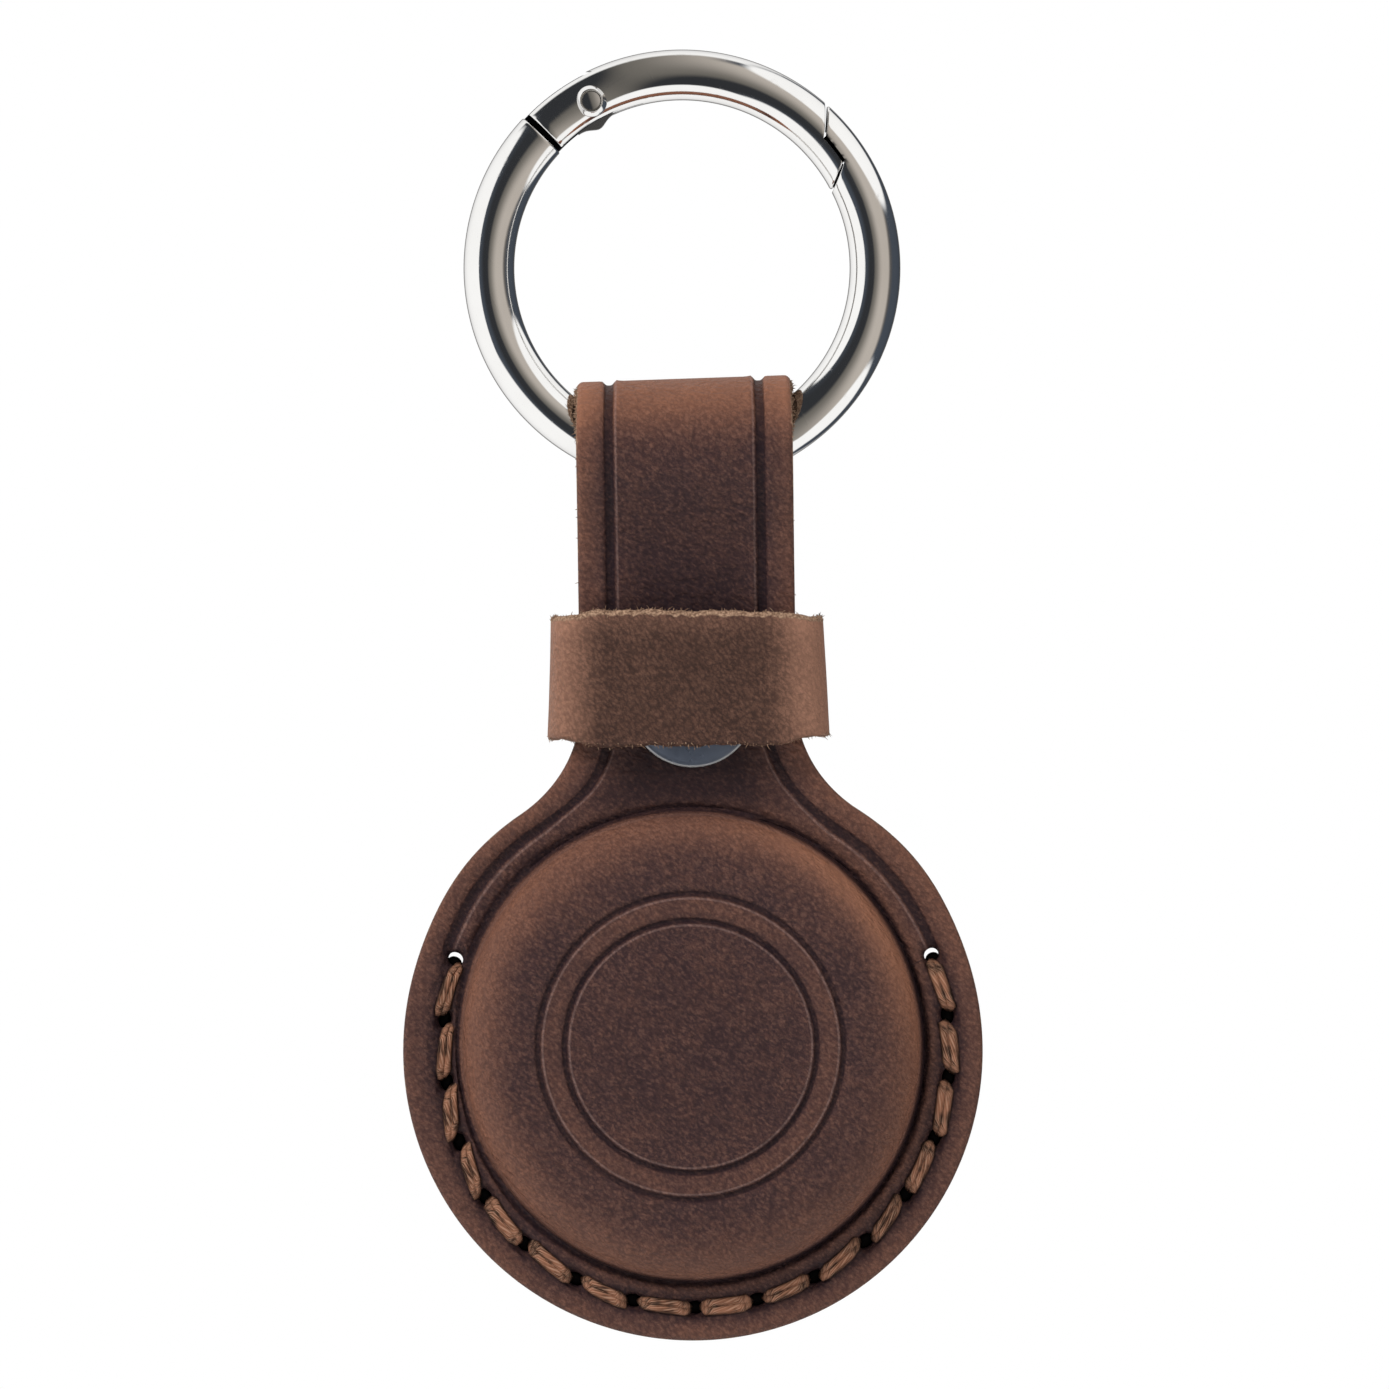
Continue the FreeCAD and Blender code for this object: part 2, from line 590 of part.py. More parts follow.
KEEPER_BACK = f"( {NECK_FACE} + keeper_back_room + keeper_thickness )"
keeper_loop = make_body("keeper_loop", z=KEEPER_Z)
band = make_sketch(keeper_loop, "XY_Plane")
draw_outline(band, keeper_ring("keeper_thickness"))
draw_outline(band, keeper_ring("0"))
pad(keeper_loop, band, "keeper_height")
joint = make_sketch(keeper_loop, "XY_Plane")
draw_outline(joint, box_outline(
    negative("keeper_slit / 2"), "keeper_slit / 2", "0", f"{KEEPER_BACK} + keeper_thickness"))
cut_through(keeper_loop, joint)
for side in (negative("staple_span / 2"), "staple_span / 2"):
    leg_hole = make_sketch(keeper_loop, "XZ_Plane", negative(KEEPER_BACK))
    draw_circle(leg_hole, side, "keeper_height / 2", "staple_wire / 2 + staple_clearance")
    cut(keeper_loop, leg_hole, "staple_leg_depth + staple_clearance", reverse=True)

keeper_staple = make_body("keeper_staple", z=KEEPER_Z)
crown = make_sketch(keeper_staple, "XZ_Plane", negative(KEEPER_BACK))
draw_outline(crown, box_outline(
    negative("staple_span / 2 + staple_wire / 2"), "staple_span / 2 + staple_wire / 2",
    "keeper_height / 2 - staple_wire / 2", "keeper_height / 2 + staple_wire / 2"))
pad(keeper_staple, crown, "staple_rise", reverse=True)
for side in (negative("staple_span / 2"), "staple_span / 2"):
    leg = make_sketch(keeper_staple, "XZ_Plane", negative(KEEPER_BACK))
    draw_circle(leg, side, "keeper_height / 2", "staple_wire / 2")
    pad(keeper_staple, leg, "staple_leg_depth")

# Press snap: cap and socket on the front layer, stud and post on the back layer.
SNAP_Z = f"{SNAP_HEIGHT} - disc_drop"
FRONT_INNER = negative("neck_half_gap")
FRONT_OUTER = negative(NECK_FACE)
SOCKET_FLOOR = f"( {FRONT_INNER} + socket_floor )"
SOCKET_RIM = f"( {FRONT_INNER} + socket_depth )"
STUD_FACE = "( neck_half_gap - stud_base )"
GROOVE_HALF = "( snap_wire / 2 + snap_wire_gap )"
GROOVE_MIDDLE = f"( {SOCKET_RIM} - socket_rim - {GROOVE_HALF} )"
CAP_RISE = "( cap_height - cap_rim )"
CAP_BALL = f"( ( cap_radius ^ 2 + {CAP_RISE} ^ 2 ) / ( 2 * {CAP_RISE} ) )"

snap_cap = make_body("snap_cap", z=SNAP_Z)
turn(snap_cap, [
    ("0", f"{FRONT_OUTER} - cap_height", "0", f"{FRONT_OUTER} - cap_height + {CAP_BALL}", 1),
    ("cap_radius", f"{FRONT_OUTER} - cap_rim"),
    ("cap_radius", FRONT_OUTER),
    ("shank_radius", FRONT_OUTER),
    ("shank_radius", SOCKET_FLOOR),
    ("clench_radius", SOCKET_FLOOR),
    ("clench_radius", f"{SOCKET_FLOOR} + clench_height"),
    ("0", f"{SOCKET_FLOOR} + clench_height"),
])

snap_socket = make_body("snap_socket", z=SNAP_Z)
turn(snap_socket, [
    ("shank_radius + shank_clearance", FRONT_INNER),
    ("socket_radius", FRONT_INNER),
    ("socket_radius", SOCKET_RIM),
    ("socket_mouth", SOCKET_RIM),
    ("socket_mouth", f"{GROOVE_MIDDLE} + {GROOVE_HALF}"),
    ("socket_groove", f"{GROOVE_MIDDLE} + {GROOVE_HALF}"),
    ("socket_groove", f"{GROOVE_MIDDLE} - {GROOVE_HALF}"),
    ("socket_mouth", f"{GROOVE_MIDDLE} - {GROOVE_HALF}"),
    ("socket_mouth", SOCKET_FLOOR),
    ("shank_radius + shank_clearance", SOCKET_FLOOR),
])

snap_spring = make_body("snap_spring", z=SNAP_Z)
turn_wire(snap_spring, "socket_groove - snap_wire / 2 - snap_wire_gap", GROOVE_MIDDLE, "snap_wire / 2")
spring_split = make_sketch(snap_spring, "XZ_Plane")
draw_outline(spring_split, box_outline(
    negative("snap_wire / 2"), "snap_wire / 2", "0", "socket_groove + snap_wire"))
cut_through(snap_spring, spring_split)

snap_stud = make_body("snap_stud", z=SNAP_Z)
STUD_TIP = f"( {GROOVE_MIDDLE} - {GROOVE_HALF} - stud_head_height )"
turn(snap_stud, [
    ("0", STUD_TIP),
    ("stud_head", STUD_TIP),
    ("stud_head", f"{STUD_TIP} + stud_head_height"),
    ("stud_neck", f"{STUD_TIP} + stud_head_height"),
    ("stud_neck", STUD_FACE),
    ("stud_radius", STUD_FACE),
    ("stud_radius", "neck_half_gap"),
    ("0", "neck_half_gap"),
])

snap_post = make_body("snap_post", z=SNAP_Z)
turn(snap_post, [
    ("0", "neck_half_gap"),
    ("shank_radius", "neck_half_gap"),
    ("shank_radius", NECK_FACE),
    ("post_radius", NECK_FACE),
    ("post_radius", f"{NECK_FACE} + post_height / 2"),
    ("post_radius - post_height / 2", f"{NECK_FACE} + post_height"),
    ("0", f"{NECK_FACE} + post_height"),
])

# Disc tag: shell to the front, steel cover to the back, works between.
SHELL_FLOOR = f"( tag_wall - {TAG_HALF} )"
SHELL_BORE = "( tag_radius - tag_wall )"
EDGE_KNEE = "( tag_radius - tag_edge )"
BOARD_BACK = "( board_thickness - board_front )"
BOARD_RADIUS = f"( {SHELL_BORE} - board_edge_gap )"
BOARD_SHELF = f"( {BOARD_RADIUS} - tag_wall )"

tag_shell = make_body("tag_shell", z=DISC_Z)
turn(tag_shell, [
    ("0", negative(TAG_HALF)),
    (EDGE_KNEE, negative(TAG_HALF), EDGE_KNEE, f"tag_edge - {TAG_HALF}", 1),
    ("tag_radius", f"tag_edge - {TAG_HALF}"),
    ("tag_radius", "tag_split"),
    (SHELL_BORE, "tag_split"),
    (SHELL_BORE, negative("board_front")),
    (BOARD_SHELF, negative("board_front")),
    (BOARD_SHELF, SHELL_FLOOR),
    ("0", SHELL_FLOOR),
])

SKIRT = f"( {SHELL_BORE} - cover_clearance )"
tag_cover = make_body("tag_cover", z=DISC_Z)
turn(tag_cover, [
    (f"{SKIRT} - cover_thickness", "tag_split - cover_spigot"),
    (SKIRT, "tag_split - cover_spigot"),
    (SKIRT, "tag_split + seal_wire"),
    ("tag_radius", "tag_split + seal_wire"),
    ("tag_radius", f"{TAG_HALF} - tag_edge", EDGE_KNEE, f"{TAG_HALF} - tag_edge", 1),
    (EDGE_KNEE, TAG_HALF),
    ("0", TAG_HALF),
    ("0", f"{TAG_HALF} - cover_thickness"),
    (f"{SKIRT} - cover_thickness", f"{TAG_HALF} - cover_thickness"),
])

tag_seal = make_body("tag_seal", z=DISC_Z)
turn_wire(tag_seal, f"( tag_radius + {SHELL_BORE} ) / 2", "tag_split + seal_wire / 2", "seal_wire / 2")

tag_board = make_body("tag_board", z=DISC_Z)
turn(tag_board, block(negative("board_front"), BOARD_BACK, BOARD_RADIUS))

CELL_FRONT = f"( {BOARD_BACK} + contact_height )"
CELL_BACK = f"( {CELL_FRONT} + cell_thickness )"
coin_cell = make_body("coin_cell", z=DISC_Z)
turn(coin_cell, [
    ("0", CELL_FRONT),
    ("cell_radius - cell_edge", CELL_FRONT),
    ("cell_radius", f"{CELL_FRONT} + cell_edge"),
    ("cell_radius", CELL_BACK),
    ("0", CELL_BACK),
])

cell_contacts = make_body("cell_contacts", z=DISC_Z)
cell_contacts.AllowCompound = True
tab = make_sketch(cell_contacts, "XZ_Plane", negative(BOARD_BACK))
draw_outline(tab, box_outline(
    "contact_radius - contact_length / 2", "contact_radius + contact_length / 2",
    negative("contact_width / 2"), "contact_width / 2"))
first_tab = pad(cell_contacts, tab, "contact_height", reverse=True)
repeat_round(cell_contacts, first_tab, "contact_count", "360")

tag_sounder = make_body("tag_sounder", z=DISC_Z)
turn(tag_sounder, collar(SHELL_FLOOR, negative("board_front"), "sounder_core", "sounder_radius"))

# Every piece has to be sound before any file is written.
PIECES = [item for item in doc.Objects if item.TypeId == "PartDesign::Body"]
for item in doc.Objects:
    if "Invalid" in item.State or "Error" in item.State:
        raise RuntimeError(f"{item.Name} failed: {item.State}")
for piece in PIECES:
    if piece.Shape.isNull() or not piece.Shape.isValid():
        raise RuntimeError(f"{piece.Label} has no sound shape")

os.makedirs("parts", exist_ok=True)
for piece in PIECES:
    piece.Shape.exportStep(f"parts/{piece.Label}.step")
    print(piece.Label, len(piece.Shape.Solids), round(piece.Shape.Volume, 3))
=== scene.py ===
"""Dresses the leather tracker tag holder: moulded hide, keeper, stitching, spring-gate ring and snap.

Everything is in metres in the part's own frame: +X right, the front towards -Y, +Z up, and the ring's
centre at the origin. Each surface is a grid of points worked out from two parameters.
"""

import json
import logging
import math
from collections.abc import Callable
from dataclasses import dataclass, field
from enum import Enum

import bmesh
import bpy
import numpy as np
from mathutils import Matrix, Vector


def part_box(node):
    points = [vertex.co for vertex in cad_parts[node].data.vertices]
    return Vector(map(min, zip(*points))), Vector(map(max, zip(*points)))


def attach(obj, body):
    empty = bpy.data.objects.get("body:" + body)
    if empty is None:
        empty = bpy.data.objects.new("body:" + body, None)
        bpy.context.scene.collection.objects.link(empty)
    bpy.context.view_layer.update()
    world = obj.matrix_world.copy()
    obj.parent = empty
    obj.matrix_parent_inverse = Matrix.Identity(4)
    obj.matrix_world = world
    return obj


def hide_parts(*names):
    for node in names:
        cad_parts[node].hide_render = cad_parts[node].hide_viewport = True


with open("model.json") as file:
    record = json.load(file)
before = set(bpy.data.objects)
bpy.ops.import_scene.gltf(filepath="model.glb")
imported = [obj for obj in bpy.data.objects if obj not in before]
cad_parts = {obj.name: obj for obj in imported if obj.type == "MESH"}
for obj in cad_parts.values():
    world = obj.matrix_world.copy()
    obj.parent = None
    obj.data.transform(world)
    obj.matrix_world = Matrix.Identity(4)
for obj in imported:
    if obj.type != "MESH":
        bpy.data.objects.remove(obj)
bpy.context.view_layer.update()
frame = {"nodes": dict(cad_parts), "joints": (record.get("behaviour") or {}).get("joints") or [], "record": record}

LOG = logging.getLogger("tag_holder")
MM = 0.001
WELD = 0.001 * MM
TURN = 2.0 * math.pi

Colour = tuple[float, float, float]
Socket = bpy.types.NodeSocket
Tree = bpy.types.NodeTree


class Side(Enum):
    """The two faces of the holder, as the sign of Y."""

    FRONT = -1.0
    BACK = 1.0


class Mask(Enum):
    """Values per point that the finishes read."""

    PULL = "pull"
    # Darkening: dirt and pressed leather, and painted shade in the dome's valley, the stitch holes and channel,
    # round the keeper, in the ring's joints and along the thread.
    SOIL_AND_SHADE = "soil"
    RAW = "raw"
    EDGE = "edge"
    RADIUS = "radius"
    VALLEY = "valley"


def smooth_step(t: np.ndarray) -> np.ndarray:
    """Ramp from 0 to 1 with level ends: 3 t squared less 2 t cubed, over t from 0 to 1."""
    t = np.clip(t, 0.0, 1.0)
    return t * t * (3.0 - 2.0 * t)


def bell(x: np.ndarray, centre: float, width: float) -> np.ndarray:
    """Bell curve of height 1: e to the minus square of the distance over the width."""
    return np.exp(-(((x - centre) / width) ** 2))


def plateau(x: np.ndarray, centre: float, width: float) -> np.ndarray:
    """Flat-topped bell of height 1: e to the minus fourth power of the distance over the width."""
    return np.exp(-(((x - centre) / width) ** 4))


def smooth_max(a: np.ndarray, b: np.ndarray, blend: float) -> np.ndarray:
    """Larger of two values, rounded over about the blend where they cross."""
    return 0.5 * (a + b + np.sqrt((a - b) ** 2 + blend**2))


def graded(start: float, stop: float, count: int, spots: list[tuple[float, float, float]]) -> np.ndarray:
    """Steps from start to stop that gather at some places.

    The density is 1 plus a bell for each spot, and the steps share its running sum evenly.

    Args:
        start: first value.
        stop: last value.
        count: number of steps.
        spots: place, width and weight of each gathering.

    Returns:
        count + 1 values.
    """
    fine = np.linspace(start, stop, 40 * count + 1)
    density = np.ones_like(fine) + sum(weight * bell(fine, place, width) for place, width, weight in spots)
    run = np.concatenate(([0.0], np.cumsum(0.5 * (density[1:] + density[:-1]))))
    steps = np.interp(np.linspace(0.0, run[-1], count + 1), run, fine)
    steps[0], steps[-1] = start, stop
    return steps


def ruled(first: np.ndarray, last: np.ndarray, steps: int) -> np.ndarray:
    """Grid of straight lines from each value of one row to the same value of another."""
    t = np.linspace(0.0, 1.0, steps + 1).reshape((-1,) + (1,) * first.ndim)
    return first + t * (last - first)


def stacked(x: np.ndarray, y: np.ndarray, z: np.ndarray) -> np.ndarray:
    """Points from three arrays that broadcast together."""
    return np.stack(np.broadcast_arrays(x, y, z), axis=-1).astype(float)


@dataclass
class Patch:
    """A grid of points, with the masks and map that its finish reads."""

    points: np.ndarray
    masks: dict[Mask, np.ndarray] = field(default_factory=dict)
    chart: np.ndarray | None = None
    kept: np.ndarray | None = None


@dataclass
class Skin:
    """Patches that are sewn into one closed mesh."""

    name: str
    patches: list[Patch] = field(default_factory=list)
    settle: Callable[[np.ndarray], np.ndarray] | None = None

    def add(self, points: np.ndarray, **extras: object) -> None:
        """Takes one more grid of points."""
        self.patches.append(Patch(points, **extras))

    def mesh(self) -> bpy.types.Mesh:
        """Joins the grids, welds points that coincide and turns the faces outwards.

        Returns:
            The finished mesh, smooth, with its masks as point attributes and its map as UVs.
        """
        points, faces, charts, start = [], [], [], 0
        for patch in self.patches:
            rows, cols = patch.points.shape[:2]
            index = start + np.arange(rows * cols).reshape(rows, cols)
            corners = (slice(None, -1), slice(None, -1)), (slice(None, -1), slice(1, None))
            corners += (slice(1, None), slice(1, None)), (slice(1, None), slice(None, -1))
            cells = np.stack([index[c] for c in corners], axis=-1)
            kept = np.ones(cells.shape[:2], bool) if patch.kept is None else patch.kept
            chart = np.zeros((rows, cols, 2)) if patch.chart is None else patch.chart
            points.append(patch.points.reshape(-1, 3))
            faces.append(cells[kept])
            charts.append(np.stack([chart[c] for c in corners], axis=2)[kept].reshape(-1, 2))
            start += rows * cols
        corners, placed = np.concatenate(faces).ravel(), np.concatenate(points)
        placed = placed if self.settle is None else self.settle(placed)
        mesh = bpy.data.meshes.new(self.name)
        mesh.vertices.add(start)
        mesh.vertices.foreach_set("co", placed.ravel())
        mesh.loops.add(len(corners))
        mesh.loops.foreach_set("vertex_index", corners.astype(np.int32))
        mesh.polygons.add(len(corners) // 4)
        mesh.polygons.foreach_set("loop_start", np.arange(0, len(corners), 4, dtype=np.int32))
        mesh.update(calc_edges=True)
        if any(patch.chart is not None for patch in self.patches):
            mesh.uv_layers.new(name="chart").uv.foreach_set("vector", np.concatenate(charts).ravel())
        for mask in {mask for patch in self.patches for mask in patch.masks}:
            blank = [np.zeros(p.points.shape[:2]) for p in self.patches]
            values = [np.broadcast_to(p.masks.get(mask, b), b.shape) for p, b in zip(self.patches, blank)]
            layer = mesh.attributes.new(mask.value, "FLOAT", "POINT")
            layer.data.foreach_set("value", np.concatenate([v.ravel() for v in values]).astype(np.float32))
        work = bmesh.new()
        work.from_mesh(mesh)
        bmesh.ops.remove_doubles(work, verts=work.verts, dist=WELD)
        bmesh.ops.recalc_face_normals(work, faces=work.faces)
        work.to_mesh(mesh)
        work.free()
        mesh.shade_smooth()
        return mesh

    def piece(self, slots: dict[str, bpy.types.Material], body: str, slot: str, *nodes: str,
              crease: float = 0.0) -> None:
        """Makes the object that shows the mesh, at the origin.

        Args:
            slots: the materials by slot.
            body: the body that it moves with.
            slot: its own slot in the record.
            nodes: the solids that it stands for.
            crease: degrees past which an edge stays sharp, or 0 where all are smooth.
        """
        shown = bpy.data.objects.new(self.name, self.mesh())
        bpy.context.scene.collection.objects.link(shown)
        shown.data.materials.append(slots[slot])
        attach(shown, body)
        if nodes:
            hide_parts(*nodes)
        if crease:
            shown.data.set_sharp_from_angle(angle=math.radians(crease))
        LOG.info("%s: %d faces on %s", self.name, len(shown.data.polygons), body)


def turned(profile: np.ndarray, centre: tuple[float, float], steps: int) -> np.ndarray:
    """Surface of revolution about a line along Y.

    The profile's radius is turned through the full circle in XZ, and its second value is Y.

    Args:
        profile: radius and Y of each point.
        centre: X and Z of the axis.
        steps: parts of the circle.

    Returns:
        Grid of points, profile by circle.
    """
    angle = np.linspace(0.0, TURN, steps + 1)
    radius, height = profile[:, :1], profile[:, 1:]
    return stacked(centre[0] + radius * np.cos(angle), height, centre[1] + radius * np.sin(angle))


class Shader:
    """Node trees in a few words."""

    def __init__(self, tree: Tree) -> None:
        """Works on one node tree."""
        self.tree = tree

    def node(self, kind: str, **settings: object) -> bpy.types.Node:
        """Adds a node.

        Args:
            kind: its type.
            settings: its properties.

        Returns:
            The node.
        """
        made = self.tree.nodes.new(kind)
        for name, value in settings.items():
            setattr(made, name, value)
        return made

    def join(self, source: object, socket: Socket) -> None:
        """Links a socket, or sets a plain value.

        Args:
            source: the socket or the value.
            socket: where it goes.
        """
        if isinstance(source, Socket):
            self.tree.links.new(source, socket)
        elif isinstance(source, tuple) and socket.type == "RGBA":
            socket.default_value = (*source, 1.0)[:4]
        else:
            socket.default_value = source

    def math(self, operation: str, *values: object, clamp: bool = False) -> Socket:
        """Works a value out with a Math node.

        Args:
            operation: what it does.
            values: what it does that to, as sockets or numbers.
            clamp: whether the result stays between 0 and 1.

        Returns:
            The result.
        """
        made = self.node("ShaderNodeMath", operation=operation, use_clamp=clamp)
        for value, socket in zip(values, made.inputs):
            self.join(value, socket)
        return made.outputs[0]

    def mix(self, share: object, first: object, second: object) -> Socket:
        """Mixes two colours.

        Args:
            share: the second colour's share.
            first: one colour.
            second: the other.

        Returns:
            The colour between them.
        """
        made = self.node("ShaderNodeMix", data_type="RGBA")
        self.join(share, made.inputs["Factor"])
        self.join(first, made.inputs[6])
        self.join(second, made.inputs[7])
        return made.outputs[2]

    def ramp(self, value: object, low: float, high: float) -> Socket:
        """Stretches a value, with level ends.

        Args:
            value: what is stretched.
            low: where it gives 0.
            high: where it gives 1.

        Returns:
            The stretched value.
        """
        made = self.node("ShaderNodeMapRange", interpolation_type="SMOOTHSTEP")
        self.join(value, made.inputs["Value"])
        self.join(low, made.inputs["From Min"])
        self.join(high, made.inputs["From Max"])
        return made.outputs["Result"]

    def noise(self, where: object, scale: object, detail: float = 2.0, rough: float = 0.5) -> Socket:
        """Makes soft noise.

        Args:
            where: its coordinates.
            scale: how many features there are to a metre.
            detail: how many finer layers it has.
            rough: how strong they are.

        Returns:
            A value from 0 to 1.
        """
        made = self.node("ShaderNodeTexNoise")
        self.join(where, made.inputs["Vector"])
        self.join(scale, made.inputs["Scale"])
        made.inputs["Detail"].default_value = detail
        made.inputs["Roughness"].default_value = rough
        return made.outputs["Fac"]

    def mask(self, mask: Mask) -> Socket:
        """A mask that the mesh carries."""
        return self.node("ShaderNodeAttribute", attribute_name=mask.value).outputs["Fac"]

    def place(self) -> Socket:
        """Object coordinates."""
        return self.node("ShaderNodeTexCoord").outputs["Object"]

    def stretch(self, where: object, scale: tuple[float, float, float], axis: str = "Z",
                turn: float = 0.0) -> Socket:
        """Turns coordinates about an axis and then scales them.

        Args:
            where: the coordinates.
            scale: what they are multiplied by.
            axis: what they turn about.
            turn: how far, in radians.

        Returns:
            The new coordinates.
        """
        turned_to = self.node("ShaderNodeVectorRotate", rotation_type=f"{axis}_AXIS")
        self.join(where, turned_to.inputs["Vector"])
        turned_to.inputs["Angle"].default_value = turn
        made = self.node("ShaderNodeVectorMath", operation="MULTIPLY")
        self.join(turned_to.outputs["Vector"], made.inputs[0])
        made.inputs[1].default_value = scale
        return made.outputs["Vector"]

    def group(self, tree: Tree, **inputs: object) -> dict[str, Socket]:
        """Places a shared effect.

        Args:
            tree: the effect.
            inputs: what goes into it, by name.

        Returns:
            Its outputs by name.
        """
        made = self.node("ShaderNodeGroup", node_tree=tree)
        for name, value in inputs.items():
            self.join(value, made.inputs[name])
        return {socket.name: socket for socket in made.outputs}


def srgb(red: float, green: float, blue: float) -> Colour:
    """Linear colour of an sRGB colour given as 0 to 255."""
    parts = np.array((red, green, blue)) / 255.0
    return tuple(np.where(parts <= 0.04045, parts / 12.92, ((parts + 0.055) / 1.055) ** 2.4).tolist())


def effect(name: str, inputs: dict[str, str], outputs: dict[str, str]) -> tuple[Shader, dict, dict]:
    """Empty shared effect.

    Args:
        name: its name.
        inputs: socket type of each input.
        outputs: socket type of each output.

    Returns:
        A shader on its tree, the inputs' sockets and the outputs' sockets by name.
    """
    tree = bpy.data.node_groups.new(name, "ShaderNodeTree")
    for label, kind in inputs.items():
        tree.interface.new_socket(label, in_out="INPUT", socket_type=kind)
    for label, kind in outputs.items():
        tree.interface.new_socket(label, in_out="OUTPUT", socket_type=kind)
    given, made = tree.nodes.new("NodeGroupInput"), tree.nodes.new("NodeGroupOutput")
    return Shader(tree), {s.name: s for s in given.outputs}, {s.name: s for s in made.inputs}


VALUE, VECTOR, COLOUR = "NodeSocketFloat", "NodeSocketVector", "NodeSocketColor"


def leather_grain() -> Tree:
    """Pebbled grain: bent cells for the pebbles, fine noise for pores, wide noise for mottling.

    Noise drawn out to one side makes short wrinkles, which come and go in patches, and finer pale flecks.

    Returns:
        The effect.
    """
    shader, given, out = effect(
        "leather_grain",
        {"Where": VECTOR, "Pebbles": VALUE},
        {"Height": VALUE, "Fleck": VALUE, "Mottle": VALUE, "Wrinkle": VALUE},
    )
    bend = shader.node("ShaderNodeTexNoise")
    shader.join(given["Where"], bend.inputs["Vector"])
    bend.inputs["Scale"].default_value = 900.0
    offset = shader.node("ShaderNodeVectorMath", operation="SCALE")
    shader.join(bend.outputs["Color"], offset.inputs[0])
    offset.inputs["Scale"].default_value = 0.35 * MM
    moved = shader.node("ShaderNodeVectorMath", operation="ADD")
    shader.join(given["Where"], moved.inputs[0])
    shader.join(offset.outputs[0], moved.inputs[1])
    streaked = shader.stretch(moved.outputs[0], (1.0, 1.0, 0.55), "Y", 0.7)
    cells = shader.node("ShaderNodeTexVoronoi", feature="SMOOTH_F1")
    shader.join(streaked, cells.inputs["Vector"])
    shader.join(given["Pebbles"], cells.inputs["Scale"])
    cells.inputs["Smoothness"].default_value = 0.6
    pores = shader.noise(given["Where"], shader.math("MULTIPLY", given["Pebbles"], 3.1), 2.0)
    pebble = shader.math("SUBTRACT", 1.0, cells.outputs["Distance"])
    shader.join(shader.math("MULTIPLY_ADD", pebble, 0.6, shader.math("MULTIPLY", pores, 0.9)), out["Height"])
    drawn = shader.stretch(moved.outputs[0], (0.62, 1.0, 1.0), "Y", -0.5)
    fold = shader.noise(drawn, shader.math("MULTIPLY", given["Pebbles"], 0.44), 2.0, 0.5)
    patch = shader.ramp(shader.noise(given["Where"], 420.0, 2.0), 0.2, 0.6)
    shader.join(shader.math("MULTIPLY", shader.ramp(fold, 0.36, 0.64), patch), out["Wrinkle"])
    fleck = shader.noise(drawn, shader.math("MULTIPLY", given["Pebbles"], 0.9), 2.0, 0.5)
    shader.join(shader.ramp(fleck, 0.44, 0.68), out["Fleck"])
    shader.join(shader.noise(given["Where"], 210.0, 3.0, 0.6), out["Mottle"])
    return shader.tree


def pressed_line() -> Tree:
    """Line pressed along a constant value of a mask: a crisp groove, and a painted highlight on a lip on one side
    of it.

    Returns:
        The effect.
    """
    shader, given, out = effect(
        "pressed_line",
        {"Place": VALUE, "Centre": VALUE, "Half": VALUE, "Lip side": VALUE},
        {"Groove": VALUE, "Lip highlight": VALUE},
    )
    offset = shader.math("SUBTRACT", given["Place"], given["Centre"])
    beyond = shader.math("SUBTRACT", shader.math("ABSOLUTE", offset), given["Half"])
    shader.join(shader.ramp(beyond, 0.08, -0.1), out["Groove"])
    sided = shader.math("MULTIPLY", offset, given["Lip side"])
    past_groove = shader.math("SUBTRACT", sided, given["Half"])
    crest = shader.math("ABSOLUTE", shader.math("SUBTRACT", past_groove, 0.17))
    shader.join(shader.ramp(crest, 0.14, 0.02), out["Lip highlight"])
    return shader.tree


def raw_fibre() -> Tree:
    """Raw cut leather: a ragged border to a mask, and tan suede made of fine noise.

    Returns:
        The effect.
    """
    shader, given, out = effect(
        "raw_fibre",
        {"Where": VECTOR, "Amount": VALUE, "Light": COLOUR, "Dark": COLOUR},
        {"Share": VALUE, "Colour": COLOUR, "Height": VALUE},
    )
    ragged = shader.noise(given["Where"], 1500.0, 3.0, 0.6)
    torn = shader.math("ADD", given["Amount"], shader.math("MULTIPLY_ADD", ragged, 0.9, -0.45))
    shader.join(shader.ramp(torn, 0.38, 0.62), out["Share"])
    nap = shader.noise(given["Where"], 5200.0, 2.0, 0.6)
    shader.join(shader.mix(shader.ramp(nap, 0.3, 0.7), given["Dark"], given["Light"]), out["Colour"])
    shader.join(shader.math("ADD", nap, ragged), out["Height"])
    return shader.tree


def handled_metal() -> Tree:
    """Touched metal: soft smudges, and fine hairlines in two directions.

    Returns:
        The effect.
    """
    shader, given, out = effect(
        "handled_metal",
        {"Where": VECTOR, "Lines": VALUE},
        {"Smudge": VALUE, "Hairline": VALUE},
    )
    shader.join(shader.ramp(shader.noise(given["Where"], 190.0, 3.0, 0.6), 0.35, 0.75), out["Smudge"])
    lines = []
    for turn in (0.5, 2.1):
        drawn = shader.stretch(given["Where"], (1.0, 1.0, 0.06), "Y", turn)
        lines.append(shader.ramp(shader.noise(drawn, given["Lines"], 2.0), 0.62, 0.72))
    shader.join(shader.math("MAXIMUM", *lines), out["Hairline"])
    return shader.tree


def moulded_texture() -> Tree:
    """Moulded or coated surface: faint cloudiness and a fine spark-eroded texture.

    Returns:
        The effect.
    """
    shader, given, out = effect("moulded_texture", {"Where": VECTOR}, {"Cloud": VALUE, "Height": VALUE})
    shader.join(shader.noise(given["Where"], 260.0, 2.0), out["Cloud"])
    shader.join(shader.noise(given["Where"], 4200.0, 2.0), out["Height"])
    return shader.tree


